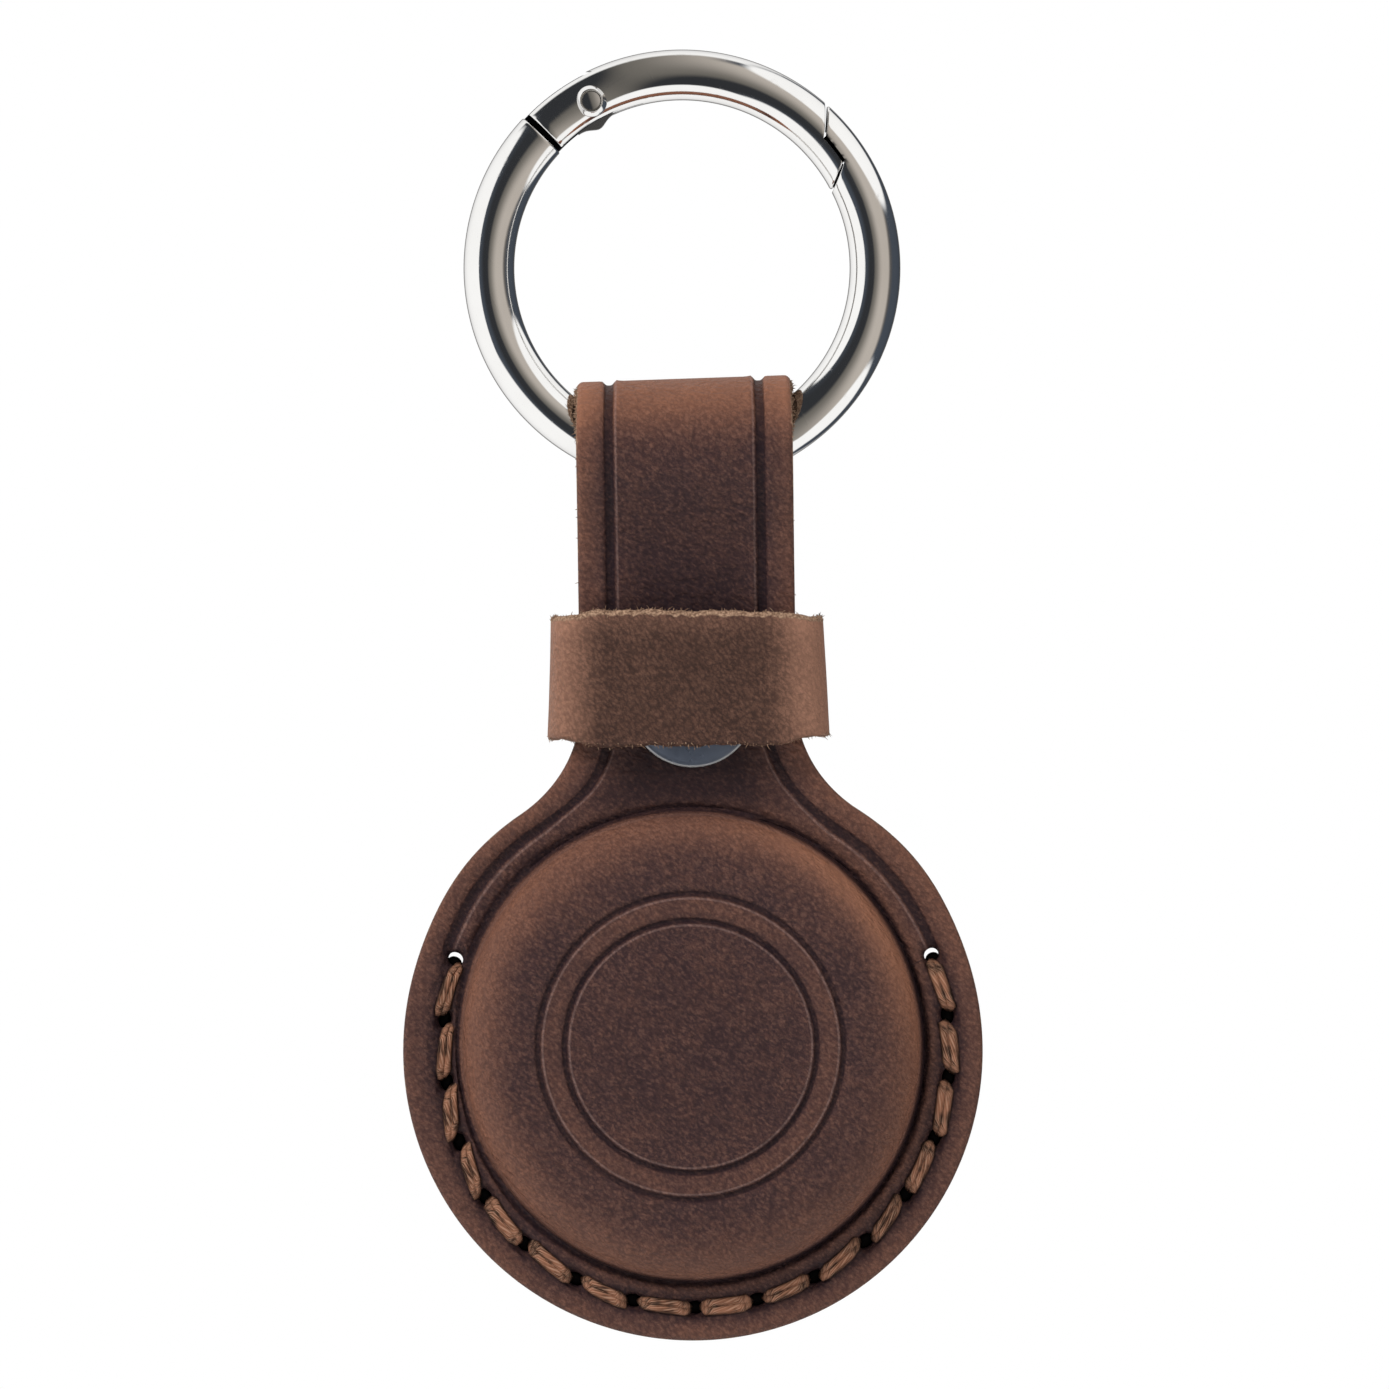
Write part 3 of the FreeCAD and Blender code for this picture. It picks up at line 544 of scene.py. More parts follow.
@dataclass(frozen=True)
class Finish:
    """What every finish has: a name, a base roughness and the strength of its relief."""

    name: str
    roughness: float
    relief: float

    def start(self) -> tuple[Shader, bpy.types.Material, bpy.types.Node]:
        """Starts a blank material.

        Returns:
            A shader on its tree, the material and its surface node.
        """
        material = bpy.data.materials.new(self.name)
        material.use_nodes = True
        shader = Shader(material.node_tree)
        surface = material.node_tree.nodes["Principled BSDF"]
        surface.inputs["Roughness"].default_value = self.roughness
        return shader, material, surface

    def emboss(self, shader: Shader, surface: bpy.types.Node, height: object, depth: float) -> None:
        """Bumps the surface.

        Args:
            shader: the material's shader.
            surface: its surface node.
            height: the relief.
            depth: how many metres a height of 1 stands for.
        """
        bump = shader.node("ShaderNodeBump")
        bump.inputs["Strength"].default_value = self.relief
        bump.inputs["Distance"].default_value = depth
        shader.join(height, bump.inputs["Height"])
        shader.join(bump.outputs["Normal"], surface.inputs["Normal"])


@dataclass(frozen=True)
class Line:
    """A pressed line: the mask it follows, place and half width in mm, lip side, darkness, and the share of
    painted highlight on its lip.
    """

    mask: Mask
    place: float
    half: float
    lip_side: float
    dark: float
    lip: float


@dataclass(frozen=True)
class Leather(Finish):
    """Oiled pull-up leather: dark where it lies flat, tan where it is stretched, raw at the cut, with painted
    shade and painted highlights.

    It has so many pebbles to a metre. Pits and flecks are shares of colour, wrinkles a share of relief.
    """

    flat: Colour
    pulled: Colour
    # soiled is the dark colour of dirt, and of painted shade.
    soiled: Colour
    pebbles: float
    pits: float
    flecks: float
    wrinkles: float
    lines: tuple[Line, ...] = ()
    sheen: float = 0.15
    raw_light: Colour = srgb(170, 140, 116)
    raw_dark: Colour = srgb(104, 78, 63)
    # The lip colour is a painted highlight along the pressed lines.
    lip: Colour = srgb(150, 122, 114)
    fleck: Colour = srgb(147, 107, 90)

    def material(self, grain_tree: Tree, raw_tree: Tree, line_tree: Tree) -> bpy.types.Material:
        """Mixes flat, pulled, soiled and raw leather by the masks, with painted shade, pressed lines with a
        painted highlight on their lips, and grain over all.

        Args:
            grain_tree: the shared grain.
            raw_tree: the shared raw edge.
            line_tree: the shared pressed line.

        Returns:
            The material.
        """
        shader, material, surface = self.start()
        where = shader.place()
        grain = shader.group(grain_tree, Where=where, Pebbles=self.pebbles)
        drift = shader.math("MULTIPLY_ADD", grain["Mottle"], 0.28, -0.13)
        drift = shader.math("MULTIPLY_ADD", grain["Wrinkle"], 0.1, drift)
        pull = shader.math("ADD", shader.mask(Mask.PULL), drift, clamp=True)
        colour = shader.mix(pull, self.flat, self.pulled)
        soil = shader.mask(Mask.SOIL_AND_SHADE)
        relief = shader.math("MULTIPLY_ADD", grain["Wrinkle"], self.wrinkles, grain["Height"])
        for line in self.lines:
            pressed = shader.group(line_tree, Place=shader.mask(line.mask), Centre=line.place, Half=line.half,
                                   **{"Lip side": line.lip_side})
            # Painted highlight on each line's lip.
            colour = shader.mix(shader.math("MULTIPLY", pressed["Lip highlight"], line.lip), colour, self.lip)
            soil = shader.math("MAXIMUM", soil, shader.math("MULTIPLY", pressed["Groove"], line.dark))
            relief = shader.math("SUBTRACT", relief, shader.math("MULTIPLY", pressed["Groove"], 2.0))
        # Dirt and painted shade darken the colour towards soiled.
        soil = shader.math("MULTIPLY", soil, 0.95, clamp=True)
        colour = shader.mix(soil, colour, self.soiled)
        clean = shader.math("MULTIPLY_ADD", soil, -0.7 * self.flecks, self.flecks)
        colour = shader.mix(shader.math("MULTIPLY", grain["Fleck"], clean), colour, self.fleck)
        flatness = shader.math("MULTIPLY_ADD", shader.mask(Mask.PULL), -0.7 * self.pits, self.pits)
        pit = shader.math("MULTIPLY", shader.ramp(grain["Height"], 0.95, 0.6), flatness)
        colour = shader.mix(pit, colour, self.soiled)
        raw = shader.group(raw_tree, Where=where, Amount=shader.mask(Mask.RAW), Light=self.raw_light,
                           Dark=self.raw_dark)
        aged = shader.mix(shader.math("MULTIPLY", shader.mask(Mask.SOIL_AND_SHADE), 0.75), raw["Colour"], self.soiled)
        shader.join(shader.mix(raw["Share"], colour, aged), surface.inputs["Base Color"])
        gloss = shader.math("MULTIPLY_ADD", grain["Fleck"], 0.14, self.roughness - 0.05)
        rough = shader.math("MAXIMUM", gloss, shader.math("MULTIPLY", raw["Share"], 0.9))
        shader.join(rough, surface.inputs["Roughness"])
        surface.inputs["Specular IOR Level"].default_value = self.sheen
        fibres = shader.math("MULTIPLY", raw["Height"], raw["Share"])
        self.emboss(shader, surface, shader.math("ADD", relief, fibres), 0.05 * MM)
        return material


@dataclass(frozen=True)
class Plate(Finish):
    """Plated or bare metal with smudges and hairlines."""

    tint: Colour
    worn: Colour
    lines: float
    metallic: float = 1.0
    # bare is worn bare metal, and a painted highlight along the snap's rim.
    bare: Colour = (0.5, 0.5, 0.49)
    # The near-black colour of joint faces: dirt, and painted shade in the ring's gaps.
    grime_and_shade: Colour = (0.008, 0.008, 0.01)
    rim: Colour = (0.62, 0.62, 0.63)

    def material(self, metal_tree: Tree) -> bpy.types.Material:
        """Metal whose roughness and tint drift with smudges and hairlines.

        Args:
            metal_tree: the shared smudges and hairlines.

        Returns:
            The material.
        """
        shader, material, surface = self.start()
        handled = shader.group(metal_tree, Where=shader.place(), Lines=self.lines)
        shade = shader.math("MULTIPLY", handled["Smudge"], 0.4)
        tint = shader.mix(shade, self.tint, self.worn)
        # Worn rim, partly a painted highlight: a brighter metal colour where the mask says.
        rubbed_rim_highlight = shader.math("MULTIPLY", shader.mask(Mask.RAW), shader.ramp(handled["Smudge"], -0.6, 0.5))
        # Joint faces are painted near-black, as dirt and as painted shade in the gaps.
        grime_and_shade = shader.mask(Mask.SOIL_AND_SHADE)
        colour = shader.mix(grime_and_shade, shader.mix(rubbed_rim_highlight, tint, self.bare), self.grime_and_shade)
        shader.join(colour, surface.inputs["Base Color"])
        surface.inputs["Specular Tint"].default_value = (*self.rim, 1.0)
        haze = shader.math("MULTIPLY_ADD", handled["Smudge"], 0.06, self.roughness)
        rough = shader.math("MULTIPLY_ADD", handled["Hairline"], 0.08, haze)
        rough = shader.math("MULTIPLY_ADD", grime_and_shade, 0.4, rough)
        shader.join(rough, surface.inputs["Roughness"])
        surface.inputs["Metallic"].default_value = self.metallic
        self.emboss(shader, surface, handled["Hairline"], 0.002 * MM)
        return material


@dataclass(frozen=True)
class Moulding(Finish):
    """Plastic, rubber or laminate with a moulded texture."""

    tint: Colour
    cloud: Colour

    def material(self, texture_tree: Tree) -> bpy.types.Material:
        """Plain moulding with cloudy colour and a fine texture.

        Args:
            texture_tree: the shared texture.

        Returns:
            The material.
        """
        shader, material, surface = self.start()
        texture = shader.group(texture_tree, Where=shader.place())
        shader.join(shader.mix(texture["Cloud"], self.tint, self.cloud), surface.inputs["Base Color"])
        rough = shader.math("MULTIPLY_ADD", texture["Cloud"], 0.15, self.roughness)
        shader.join(rough, surface.inputs["Roughness"])
        self.emboss(shader, surface, texture["Height"], 0.01 * MM)
        return material


@dataclass(frozen=True)
class Thread(Finish):
    """Waxed two-ply thread: fibres wind along each ply, dark between and light on top, with painted shade down the
    holes and at the plies' sides, and pale streaks of painted highlight.
    """

    light: Colour
    dark: Colour
    shade: Colour
    # waxed is the pale colour of painted highlight streaks on the fibres.
    waxed: Colour
    sheen: float = 0.12

    def material(self) -> bpy.types.Material:
        """Streaks along the ply's own map, leaning with its twist.

        Returns:
            The material.
        """
        shader, material, surface = self.start()
        chart = shader.node("ShaderNodeTexCoord").outputs["UV"]
        streak = shader.noise(shader.stretch(chart, (0.55, 9.0, 1.0), "Z", 0.35), 1.6, 3.0, 0.6)
        soiled = shader.noise(shader.place(), 900.0, 2.0)
        tone = shader.math("MULTIPLY_ADD", soiled, 0.5, shader.math("MULTIPLY", streak, 0.75))
        colour = shader.mix(shader.ramp(tone, 0.53, 0.74), self.dark, self.light)
        fibre = shader.noise(shader.stretch(chart, (0.8, 15.0, 1.0), "Z", 0.5), 1.9, 2.0, 0.6)
        # Pale streaks along the fibres: painted highlight.
        colour = shader.mix(shader.math("MULTIPLY", shader.ramp(fibre, 0.5, 0.62), 0.6), colour, self.waxed)
        # Painted shade down the holes and at the plies' sides.
        deep = shader.mask(Mask.SOIL_AND_SHADE)
        shader.join(shader.mix(deep, colour, self.shade), surface.inputs["Base Color"])
        surface.inputs["Specular IOR Level"].default_value = self.sheen
        shader.join(shader.math("MULTIPLY_ADD", streak, 0.2, self.roughness), surface.inputs["Roughness"])
        self.emboss(shader, surface, streak, 0.06 * MM)
        return material


@dataclass
class Finishes:
    """Every material of the holder, by the record's slots."""

    slots: dict[str, bpy.types.Material] = field(default_factory=dict)

    def mix_all(self) -> None:
        """Builds the shared effects and then each slot's material."""
        grain, raw, line = leather_grain(), raw_fibre(), pressed_line()
        metal, texture = handled_metal(), moulded_texture()
        inner_line, outer_line = (place / MM for place in Hide.ring_lines)
        lines = (
            Line(Mask.EDGE, Hide.crease_inset / MM, 0.38, 1.0, 0.84, 0.32),
            Line(Mask.RADIUS, inner_line, 0.22, -1.0, 0.78, 0.34),
            Line(Mask.RADIUS, outer_line, 0.22, -1.0, 0.7, 0.34),
            # The valley's dark line is painted shade.
            Line(Mask.VALLEY, 0.0, 0.27, -1.0, 0.76, 0.12),
        )
        leathers = (
            Leather("oiled_leather", 0.5, 0.5, srgb(65, 46, 45), srgb(142, 96, 74), srgb(27, 19, 25),
                    pebbles=4600.0, pits=0.5, flecks=0.18, wrinkles=4.0, lines=lines),
            Leather("keeper_leather", 0.52, 0.6, srgb(78, 55, 46), srgb(152, 111, 91), srgb(34, 25, 24),
                    pebbles=4700.0, pits=0.62, flecks=0.16, wrinkles=2.6),
        )
        plates = (
            Plate("plated_ring", 0.05, 0.3, srgb(247, 246, 244), srgb(234, 232, 229), 1500.0),
            Plate("snap_gunmetal", 0.24, 0.35, srgb(103, 111, 126), srgb(86, 93, 105), 1500.0, 0.5),
            Plate("spring_steel", 0.2, 0.4, srgb(178, 180, 184), srgb(132, 134, 140), 1200.0),
            Plate("tag_steel", 0.22, 0.5, srgb(206, 206, 204), srgb(178, 178, 178), 900.0),
            Plate("contact_brass", 0.28, 0.4, srgb(214, 182, 112), srgb(178, 146, 84), 1200.0),
        )
        mouldings = (
            Moulding("tag_plastic", 0.25, 0.2, srgb(240, 240, 238), srgb(230, 230, 227)),
            Moulding("seal_rubber", 0.6, 0.4, srgb(30, 30, 31), srgb(44, 44, 46)),
            Moulding("board_laminate", 0.4, 0.3, srgb(22, 84, 52), srgb(34, 104, 66)),
            Moulding("sounder_plastic", 0.45, 0.35, srgb(28, 28, 30), srgb(42, 42, 44)),
        )
        thread = Thread("waxed_thread", 0.5, 0.8, srgb(136, 92, 70), srgb(42, 26, 19), srgb(8, 6, 6),
                        srgb(184, 146, 122))
        self.slots.update({leather.name: leather.material(grain, raw, line) for leather in leathers})
        self.slots.update({plate.name: plate.material(metal) for plate in plates})
        self.slots.update({moulding.name: moulding.material(texture) for moulding in mouldings})
        self.slots[thread.name] = thread.material()

    def dress_nodes(self) -> None:
        """Gives every solid of the frame its slot's material."""
        for row in frame["record"]["subparts"]:
            node = frame["nodes"][row["node"]]
            node.data.materials.clear()
            node.data.materials.append(self.slots[row["material_slot"]])
            LOG.info("%s: dressed as %s", row["node"], row["material_slot"])


LEATHER_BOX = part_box("leather_body")


@dataclass
class Hide:
    """The barbell-shaped leather strip, folded over the ring, with a dome moulded over the tag.

    Heights are measured from the middle plane between the layers, x and z from the disc's centre.
    """

    disc_radius: float = LEATHER_BOX[1].x
    disc_z: float = LEATHER_BOX[0].z + LEATHER_BOX[1].x
    dome_half: float = LEATHER_BOX[1].y
    thickness: float = 1.3 * MM
    strap_half: float = 8.5 * MM
    flare_radius: float = 10.0 * MM
    seam_gap: float = 0.1 * MM
    neck_gap: float = 1.5 * MM
    loop_gap: float = 3.65 * MM
    seam_top: float = 9.17 * MM
    neck_foot: float = 20.58 * MM
    neck_head: float = 39.08 * MM
    loop_foot: float = 46.75 * MM
    dome_radius: float = 18.4 * MM
    dome_knee: float = 14.0 * MM
    crown_drop: float = 0.3 * MM
    pocket_radius: float = 16.05 * MM
    pocket_knee: float = 14.15 * MM
    pocket_half: float = 4.05 * MM
    valley_radius: float = 18.46 * MM
    valley_left: float = 0.5 * MM
    dome_place: tuple[float, float] = (-0.16 * MM, 0.45 * MM)
    dome_stretch: tuple[float, float] = (-0.09 * MM, 0.27 * MM)
    dome_fuller: tuple[float, float] = (0.32 * MM, 0.2 * MM)
    ring_lines: tuple[float, float] = (9.9 * MM, 12.0 * MM)
    crease_inset: float = 2.55 * MM
    crease_nearer: tuple[float, float] = (0.78 * MM, 0.32 * MM)
    shoulder_out: float = 0.45 * MM
    seam_in: float = 0.68 * MM
    fold_skew: float = 0.02
    seam_radius: float = 20.2 * MM
    seam_first: float = math.radians(68.9)
    seam_sweep: float = math.radians(222.8)
    stitches: int = 16
    rays_per_stitch: int = 14
    hole_half: tuple[float, float] = (0.72 * MM, 0.5 * MM)
    end_hole_half: tuple[float, float] = (0.54 * MM, 0.58 * MM)
    block: tuple[float, float] = (19.2 * MM, 21.2 * MM)
    block_steps: int = 6
    hole_rays: int = 3
    face_rings: tuple[int, int] = (46, 7)
    lining_rings: tuple[int, int] = (8, 2)
    columns: int = 70
    strap_rows: int = 120

    def __post_init__(self) -> None:
        """Works out the flare, the fold, the strap's columns, the disc's rays and the holes."""
        self.flare_x = self.strap_half + self.flare_radius
        self.flare_z = math.sqrt((self.disc_radius + self.flare_radius) ** 2 - self.flare_x**2)
        self.top_angle = math.atan2(self.flare_x, self.flare_z)
        self.loop_z = LEATHER_BOX[1].z - self.disc_z - self.loop_gap - self.thickness
        self.pitch = self.seam_sweep / self.stitches
        crease = self.strap_half - self.crease_inset
        spots = [(place, 0.5 * MM, 1.8) for place in (-crease, crease)]
        spots += [(place, 0.4 * MM, 3.0) for place in (-self.strap_half, self.strap_half)]
        self.across = graded(-self.strap_half, self.strap_half, self.columns, spots)
        share = self.across / self.strap_half
        self.top_rays = self.top_angle * share * (0.62 + 0.38 * np.abs(share) ** 3)
        seam_last = self.seam_first + self.seam_sweep
        flank = 35
        self.rays = np.concatenate((
            self.top_rays,
            np.linspace(self.top_angle, self.seam_first, flank + 1)[1:],
            np.linspace(self.seam_first, seam_last, self.stitches * self.rays_per_stitch + 1)[1:],
            np.linspace(seam_last, TURN - self.top_angle, flank + 1)[1:],
        ))
        self.first_hole_ray = self.columns + flank
        self.holes = self.seam_first + self.pitch * np.arange(self.stitches + 1)

    def rings(self, face_steps: int, rim_steps: int) -> np.ndarray:
        """Radii of the disc's rings, gathered at the pressed lines, the shoulder and the rim.

        Args:
            face_steps: steps inside the stitch holes.
            rim_steps: steps outside them.

        Returns:
            The radii, from the centre out.
        """
        spots = [(line - 0.12 * MM, 0.42 * MM, 8.0) for line in self.ring_lines]
        spots += [(self.dome_radius - 0.2 * MM, 0.75 * MM, 7.0)]
        face = graded(0.0, self.block[0], face_steps, spots)
        seam = np.linspace(*self.block, self.block_steps + 1)
        rim = graded(self.block[1], self.disc_radius, rim_steps, [(self.disc_radius, 0.4 * MM, 3.0)])
        return np.concatenate((face, seam[1:], rim[1:]))

    def half_gap(self, z: np.ndarray) -> np.ndarray:
        """Half the gap between the layers: closed at the seam, parallel at the snap, wide at the ring.

        Args:
            z: distance up.

        Returns:
            Half the gap.
        """
        rise = smooth_step((z - self.seam_top) / (self.neck_foot - self.seam_top))
        lift = smooth_step((z - self.neck_head) / (self.loop_foot - self.neck_head))
        return self.seam_gap + (self.neck_gap - self.seam_gap) * rise + (self.loop_gap - self.neck_gap) * lift

    def edge(self, x: np.ndarray, z: np.ndarray) -> np.ndarray:
        """Distance to the cut edge: the strap's side, the hollow flare or the disc's rim.

        Args:
            x: distance to the right.
            z: distance up.

        Returns:
            The distance inwards.
        """
        flare = np.hypot(np.abs(x) - self.flare_x, z - self.flare_z) - self.flare_radius
        rim = self.disc_radius - np.hypot(x, z)
        top = np.abs(np.arctan2(x, z)) < self.top_angle
        return np.where(z >= self.flare_z, self.strap_half - np.abs(x), np.where(top, flare, rim))

    def dome_reach(self, x: np.ndarray, z: np.ndarray) -> np.ndarray:
        """Distance from the pressed dome's own middle, which lies a little up and left of the disc's.

        Towards the foot it is lessened by a mean, a second harmonic and two bell curves of the bearing,
        so that the foot is longer upwards than sideways, and fuller at the right and at the upper left.

        Args:
            x: distance to the right.
            z: distance up.

        Returns:
            The distance.
        """
        x, z = x - self.dome_place[0], z - self.dome_place[1]
        radius, turn = np.hypot(x, z), np.arctan2(x, z)
        mean, second = self.dome_stretch
        longer = mean + second * np.cos(2.0 * turn)
        longer = longer + self.dome_fuller[0] * bell(turn, 1.9, 0.85)
        longer = longer + self.dome_fuller[1] * bell(turn, -0.95, 0.5)
        return radius - longer * smooth_step((radius - 13.0 * MM) / (4.0 * MM))

    def past_valley(self, x: np.ndarray, z: np.ndarray) -> np.ndarray:
        """Distance outwards from the middle of the valley round the dome, which lies wider at the left."""
        wider = self.valley_left * bell(np.arctan2(x, z), -1.45, 0.95)
        return self.dome_reach(x, z) - self.valley_radius - wider

    def sewn(self, x: np.ndarray, z: np.ndarray) -> np.ndarray:
        """1 along the stitched stretch of the flange, 0 above its end holes."""
        turn = np.abs(np.arctan2(x, z))
        return smooth_step((turn - self.seam_first) / math.radians(3.0) + 0.5)

    def hole_distance(self, x: np.ndarray, z: np.ndarray) -> np.ndarray:
        """Distance to the middle of the nearest stitch hole.

        Args:
            x: distance to the right.
            z: distance up.

        Returns:
            The distance.
        """
        turn = np.mod(np.arctan2(x, z), TURN)
        count = np.clip(np.round((turn - self.seam_first) / self.pitch), 0, self.stitches)
        nearest = self.seam_first + count * self.pitch
        return np.hypot(x - self.seam_radius * np.sin(nearest), z - self.seam_radius * np.cos(nearest))

    def creased(self, x: np.ndarray, z: np.ndarray) -> np.ndarray:
        """Distance inwards from the pressed crease, which nears the edge on the shoulders."""
        nearer = np.where(x < 0.0, *self.crease_nearer) * smooth_step((21.5 * MM - z) / (4.0 * MM))
        return self.edge(x, z) + nearer - self.crease_inset

    def settle(self, points: np.ndarray) -> np.ndarray:
        """Uneven lay of the hand-made strip, as small shifts along X.

        The shoulders stand out by a bell curve of the height. The left of the seam lies nearer the
        dome, by a bell curve of the height times a bump of the radius. The rim and the dome stay.

        Args:
            points: points of the strip or of its stitches.

        Returns:
            The points as they lie.
        """
        x, z = points[..., 0], points[..., 2] - self.disc_z
        radius = np.hypot(x, z)
        fuller = self.shoulder_out * bell(z, 16.5 * MM, 5.5 * MM) * np.clip(x / (8.0 * MM), -1.0, 1.0)
        fuller = fuller * smooth_step((radius - self.valley_radius) / (3.0 * MM))
        drawn = self.seam_in * bell(z, -2.0 * MM, 9.0 * MM) * (x < 0.0)
        drawn = drawn * smooth_step((radius - self.valley_radius + 0.4 * MM) / (1.6 * MM))
        drawn = drawn * smooth_step((self.disc_radius - radius) / (1.6 * MM))
        settled = points.copy()
        settled[..., 0] += fuller + drawn
        return settled

    def relief(self, x: np.ndarray, z: np.ndarray) -> np.ndarray:
        """Pressed and rolled detail of the outer face, as a height.

        A flat-topped crease follows the edge with a raised lip inside it, and a wider bell-shaped channel
        where it is sewn. The edge rolls off as the square of its nearness. Each hole draws the leather in.

        Args:
            x: distance to the right.
            z: distance up.

        Returns:
            The height, less than 0 where it is pressed.
        """
        edge, sewn = self.edge(x, z), self.sewn(x, z)
        creased = self.creased(x, z)
        crease = 0.34 * MM * plateau(creased, 0.0, 0.42 * MM) * (1.0 - sewn)
        channel = 0.3 * MM * bell(edge, self.crease_inset, 0.75 * MM) * sewn
        lip = 0.07 * MM * bell(creased, 0.62 * MM, 0.22 * MM) * (1.0 - sewn)
        roll = 0.3 * MM * np.clip(1.0 - edge / (0.45 * MM), 0.0, 1.0) ** 2
        drawn = 0.14 * MM * bell(self.hole_distance(x, z), 0.0, 0.9 * MM)
        return lip - crease - channel - roll - drawn

    def outer(self, x: np.ndarray, z: np.ndarray) -> np.ndarray:
        """Height of the outer face on the disc and the neck.

        The dome is a crowned top whose shoulder is a quarter superellipse, set on the flange by the
        rounded larger of the two, with a valley round its foot and the two pressed ring lines.

        Args:
            x: distance to the right.
            z: distance up.

        Returns:
            The height.
        """
        radius = self.dome_reach(x, z)
        level = self.half_gap(z) + self.thickness
        crown = self.dome_half - self.crown_drop * (radius / self.dome_radius) ** 2
        reach = np.clip((radius - self.dome_knee) / (self.dome_radius - self.dome_knee), 0.0, 1.0)
        foot = level - 0.7 * MM
        dome = foot + (crown - foot) * (1.0 - reach**2.5) ** 0.45
        deep = 0.33 + 0.1 * np.cos(np.arctan2(x, z) - math.radians(100.0))
        valley = deep * MM * bell(self.past_valley(x, z), 0.0, 0.3 * MM)
        height = smooth_max(dome, level - valley, 0.08 * MM)
        for line in self.ring_lines:
            height = height - 0.24 * MM * plateau(radius, line, 0.24 * MM)
            height = height + 0.05 * MM * bell(radius, line - 0.42 * MM, 0.16 * MM)
        return height + self.relief(x, z)

    def inner(self, x: np.ndarray, z: np.ndarray) -> np.ndarray:
        """Height of the inner face: flat at the seam, hollowed over the tag with a round corner.

        Args:
            x: distance to the right.
            z: distance up.

        Returns:
            The height.
        """
        radius = np.hypot(x, z)
        level = self.half_gap(z)
        level = level - 0.98 * self.seam_gap * (1.0 - smooth_step((level - self.seam_gap) / (0.4 * MM)))
        reach = np.clip((radius - self.pocket_knee) / (self.pocket_radius - self.pocket_knee), 0.0, 1.0)
        return level + (self.pocket_half - level) * np.sqrt(1.0 - reach**2)

    def tones(self, x: np.ndarray, z: np.ndarray) -> dict[Mask, np.ndarray]:
        """Where the leather is pulled light, soiled dark, painted with light or shade, or cut raw.

        Shoulder, flange, fold, the edge's margin and the ring between the pressed lines are light, with painted
        light on the shoulder's upper left and a painted highlight on its upper right edge. The valley, the neck,
        the holes, and the flange under and beside the stitches are dark: painted shade, deepest in the valley at
        the right. The edge itself is raw, more so near the fold.

        Args:
            x: distance to the right.
            z: distance up.

        Returns:
            The masks.
        """
        radius, edge, sewn = self.dome_reach(x, z), self.edge(x, z), self.sewn(x, z)
        turn = np.arctan2(x, z)
        past = self.past_valley(x, z)
        dome = smooth_step(-past / (0.5 * MM))
        # Pull-up lightening of the stretched shoulder, with painted light: brighter towards the upper left, where
        # the key lamp falls, and a painted highlight along the upper right edge.
        lean = 0.86 + 0.14 * np.cos(turn + math.radians(60.0))
        pull = 0.4 * bell(radius, 17.3 * MM, 2.0 * MM) * lean
        pull = pull + 0.2 * (1.0 - bell(turn, 0.0, 0.5)) * bell(radius, 18.0 * MM, 0.6 * MM)
        pull = (pull + 0.6 * bell(turn, 0.98, 0.68) * bell(radius, 17.6 * MM, 1.2 * MM)) * dome
        flange = 0.06 + 0.06 * np.cos(turn - math.radians(30.0)) - 0.07 * bell(turn, 1.66, 0.5)
        flange = flange + 0.1 * bell(turn, 0.8, 0.35) - 0.08 * bell(turn, -1.5, 0.4)
        strip = 0.2 * bell(past, 0.65 * MM, 0.4 * MM) * (0.5 + 0.5 * np.cos(turn - math.radians(120.0)))
        pull = pull + (flange * smooth_step(past / (0.6 * MM)) + strip) * (z < self.flare_z)
        pull = pull + 0.14 * plateau(radius, 0.5 * sum(self.ring_lines), 0.85 * MM)
        pull = pull + 0.78 * smooth_step((z - self.loop_z + 1.5 * MM) / (6.5 * MM))
        margin = 0.25 + 0.1 * (x < 0.0) * (z > self.neck_head)
        pull = pull + margin * smooth_step(1.0 - edge / (2.4 * MM))
        # Painted shade in the channel that the stitches lie in.
        soil = 0.68 * plateau(edge, self.crease_inset, 0.86 * MM) * sewn
        # Painted shade in the valley round the dome, darkest and widest at the right, on the side away from the
        # key lamp.
        right = np.cos(turn - math.radians(100.0))
        valley = past / (1.12 - 0.3 * right)
        depth = 0.66 + 0.3 * right + 0.3 * bell(turn, -1.76, 0.25)
        soil = np.maximum(soil, depth * bell(valley, 0.0, 0.32 * MM))
        soil = np.maximum(soil, 0.12 * smooth_step((8.5 * MM - radius) / (3.0 * MM)))
        # Painted shade along the neck round the keeper, away from the strap's edges.
        neck = smooth_step((z - 17.5 * MM) / (3.0 * MM)) * smooth_step((46.0 * MM - z) / (14.0 * MM))
        soil = np.maximum(soil, 0.84 * neck * smooth_step((edge - 1.5 * MM) / (4.5 * MM)))
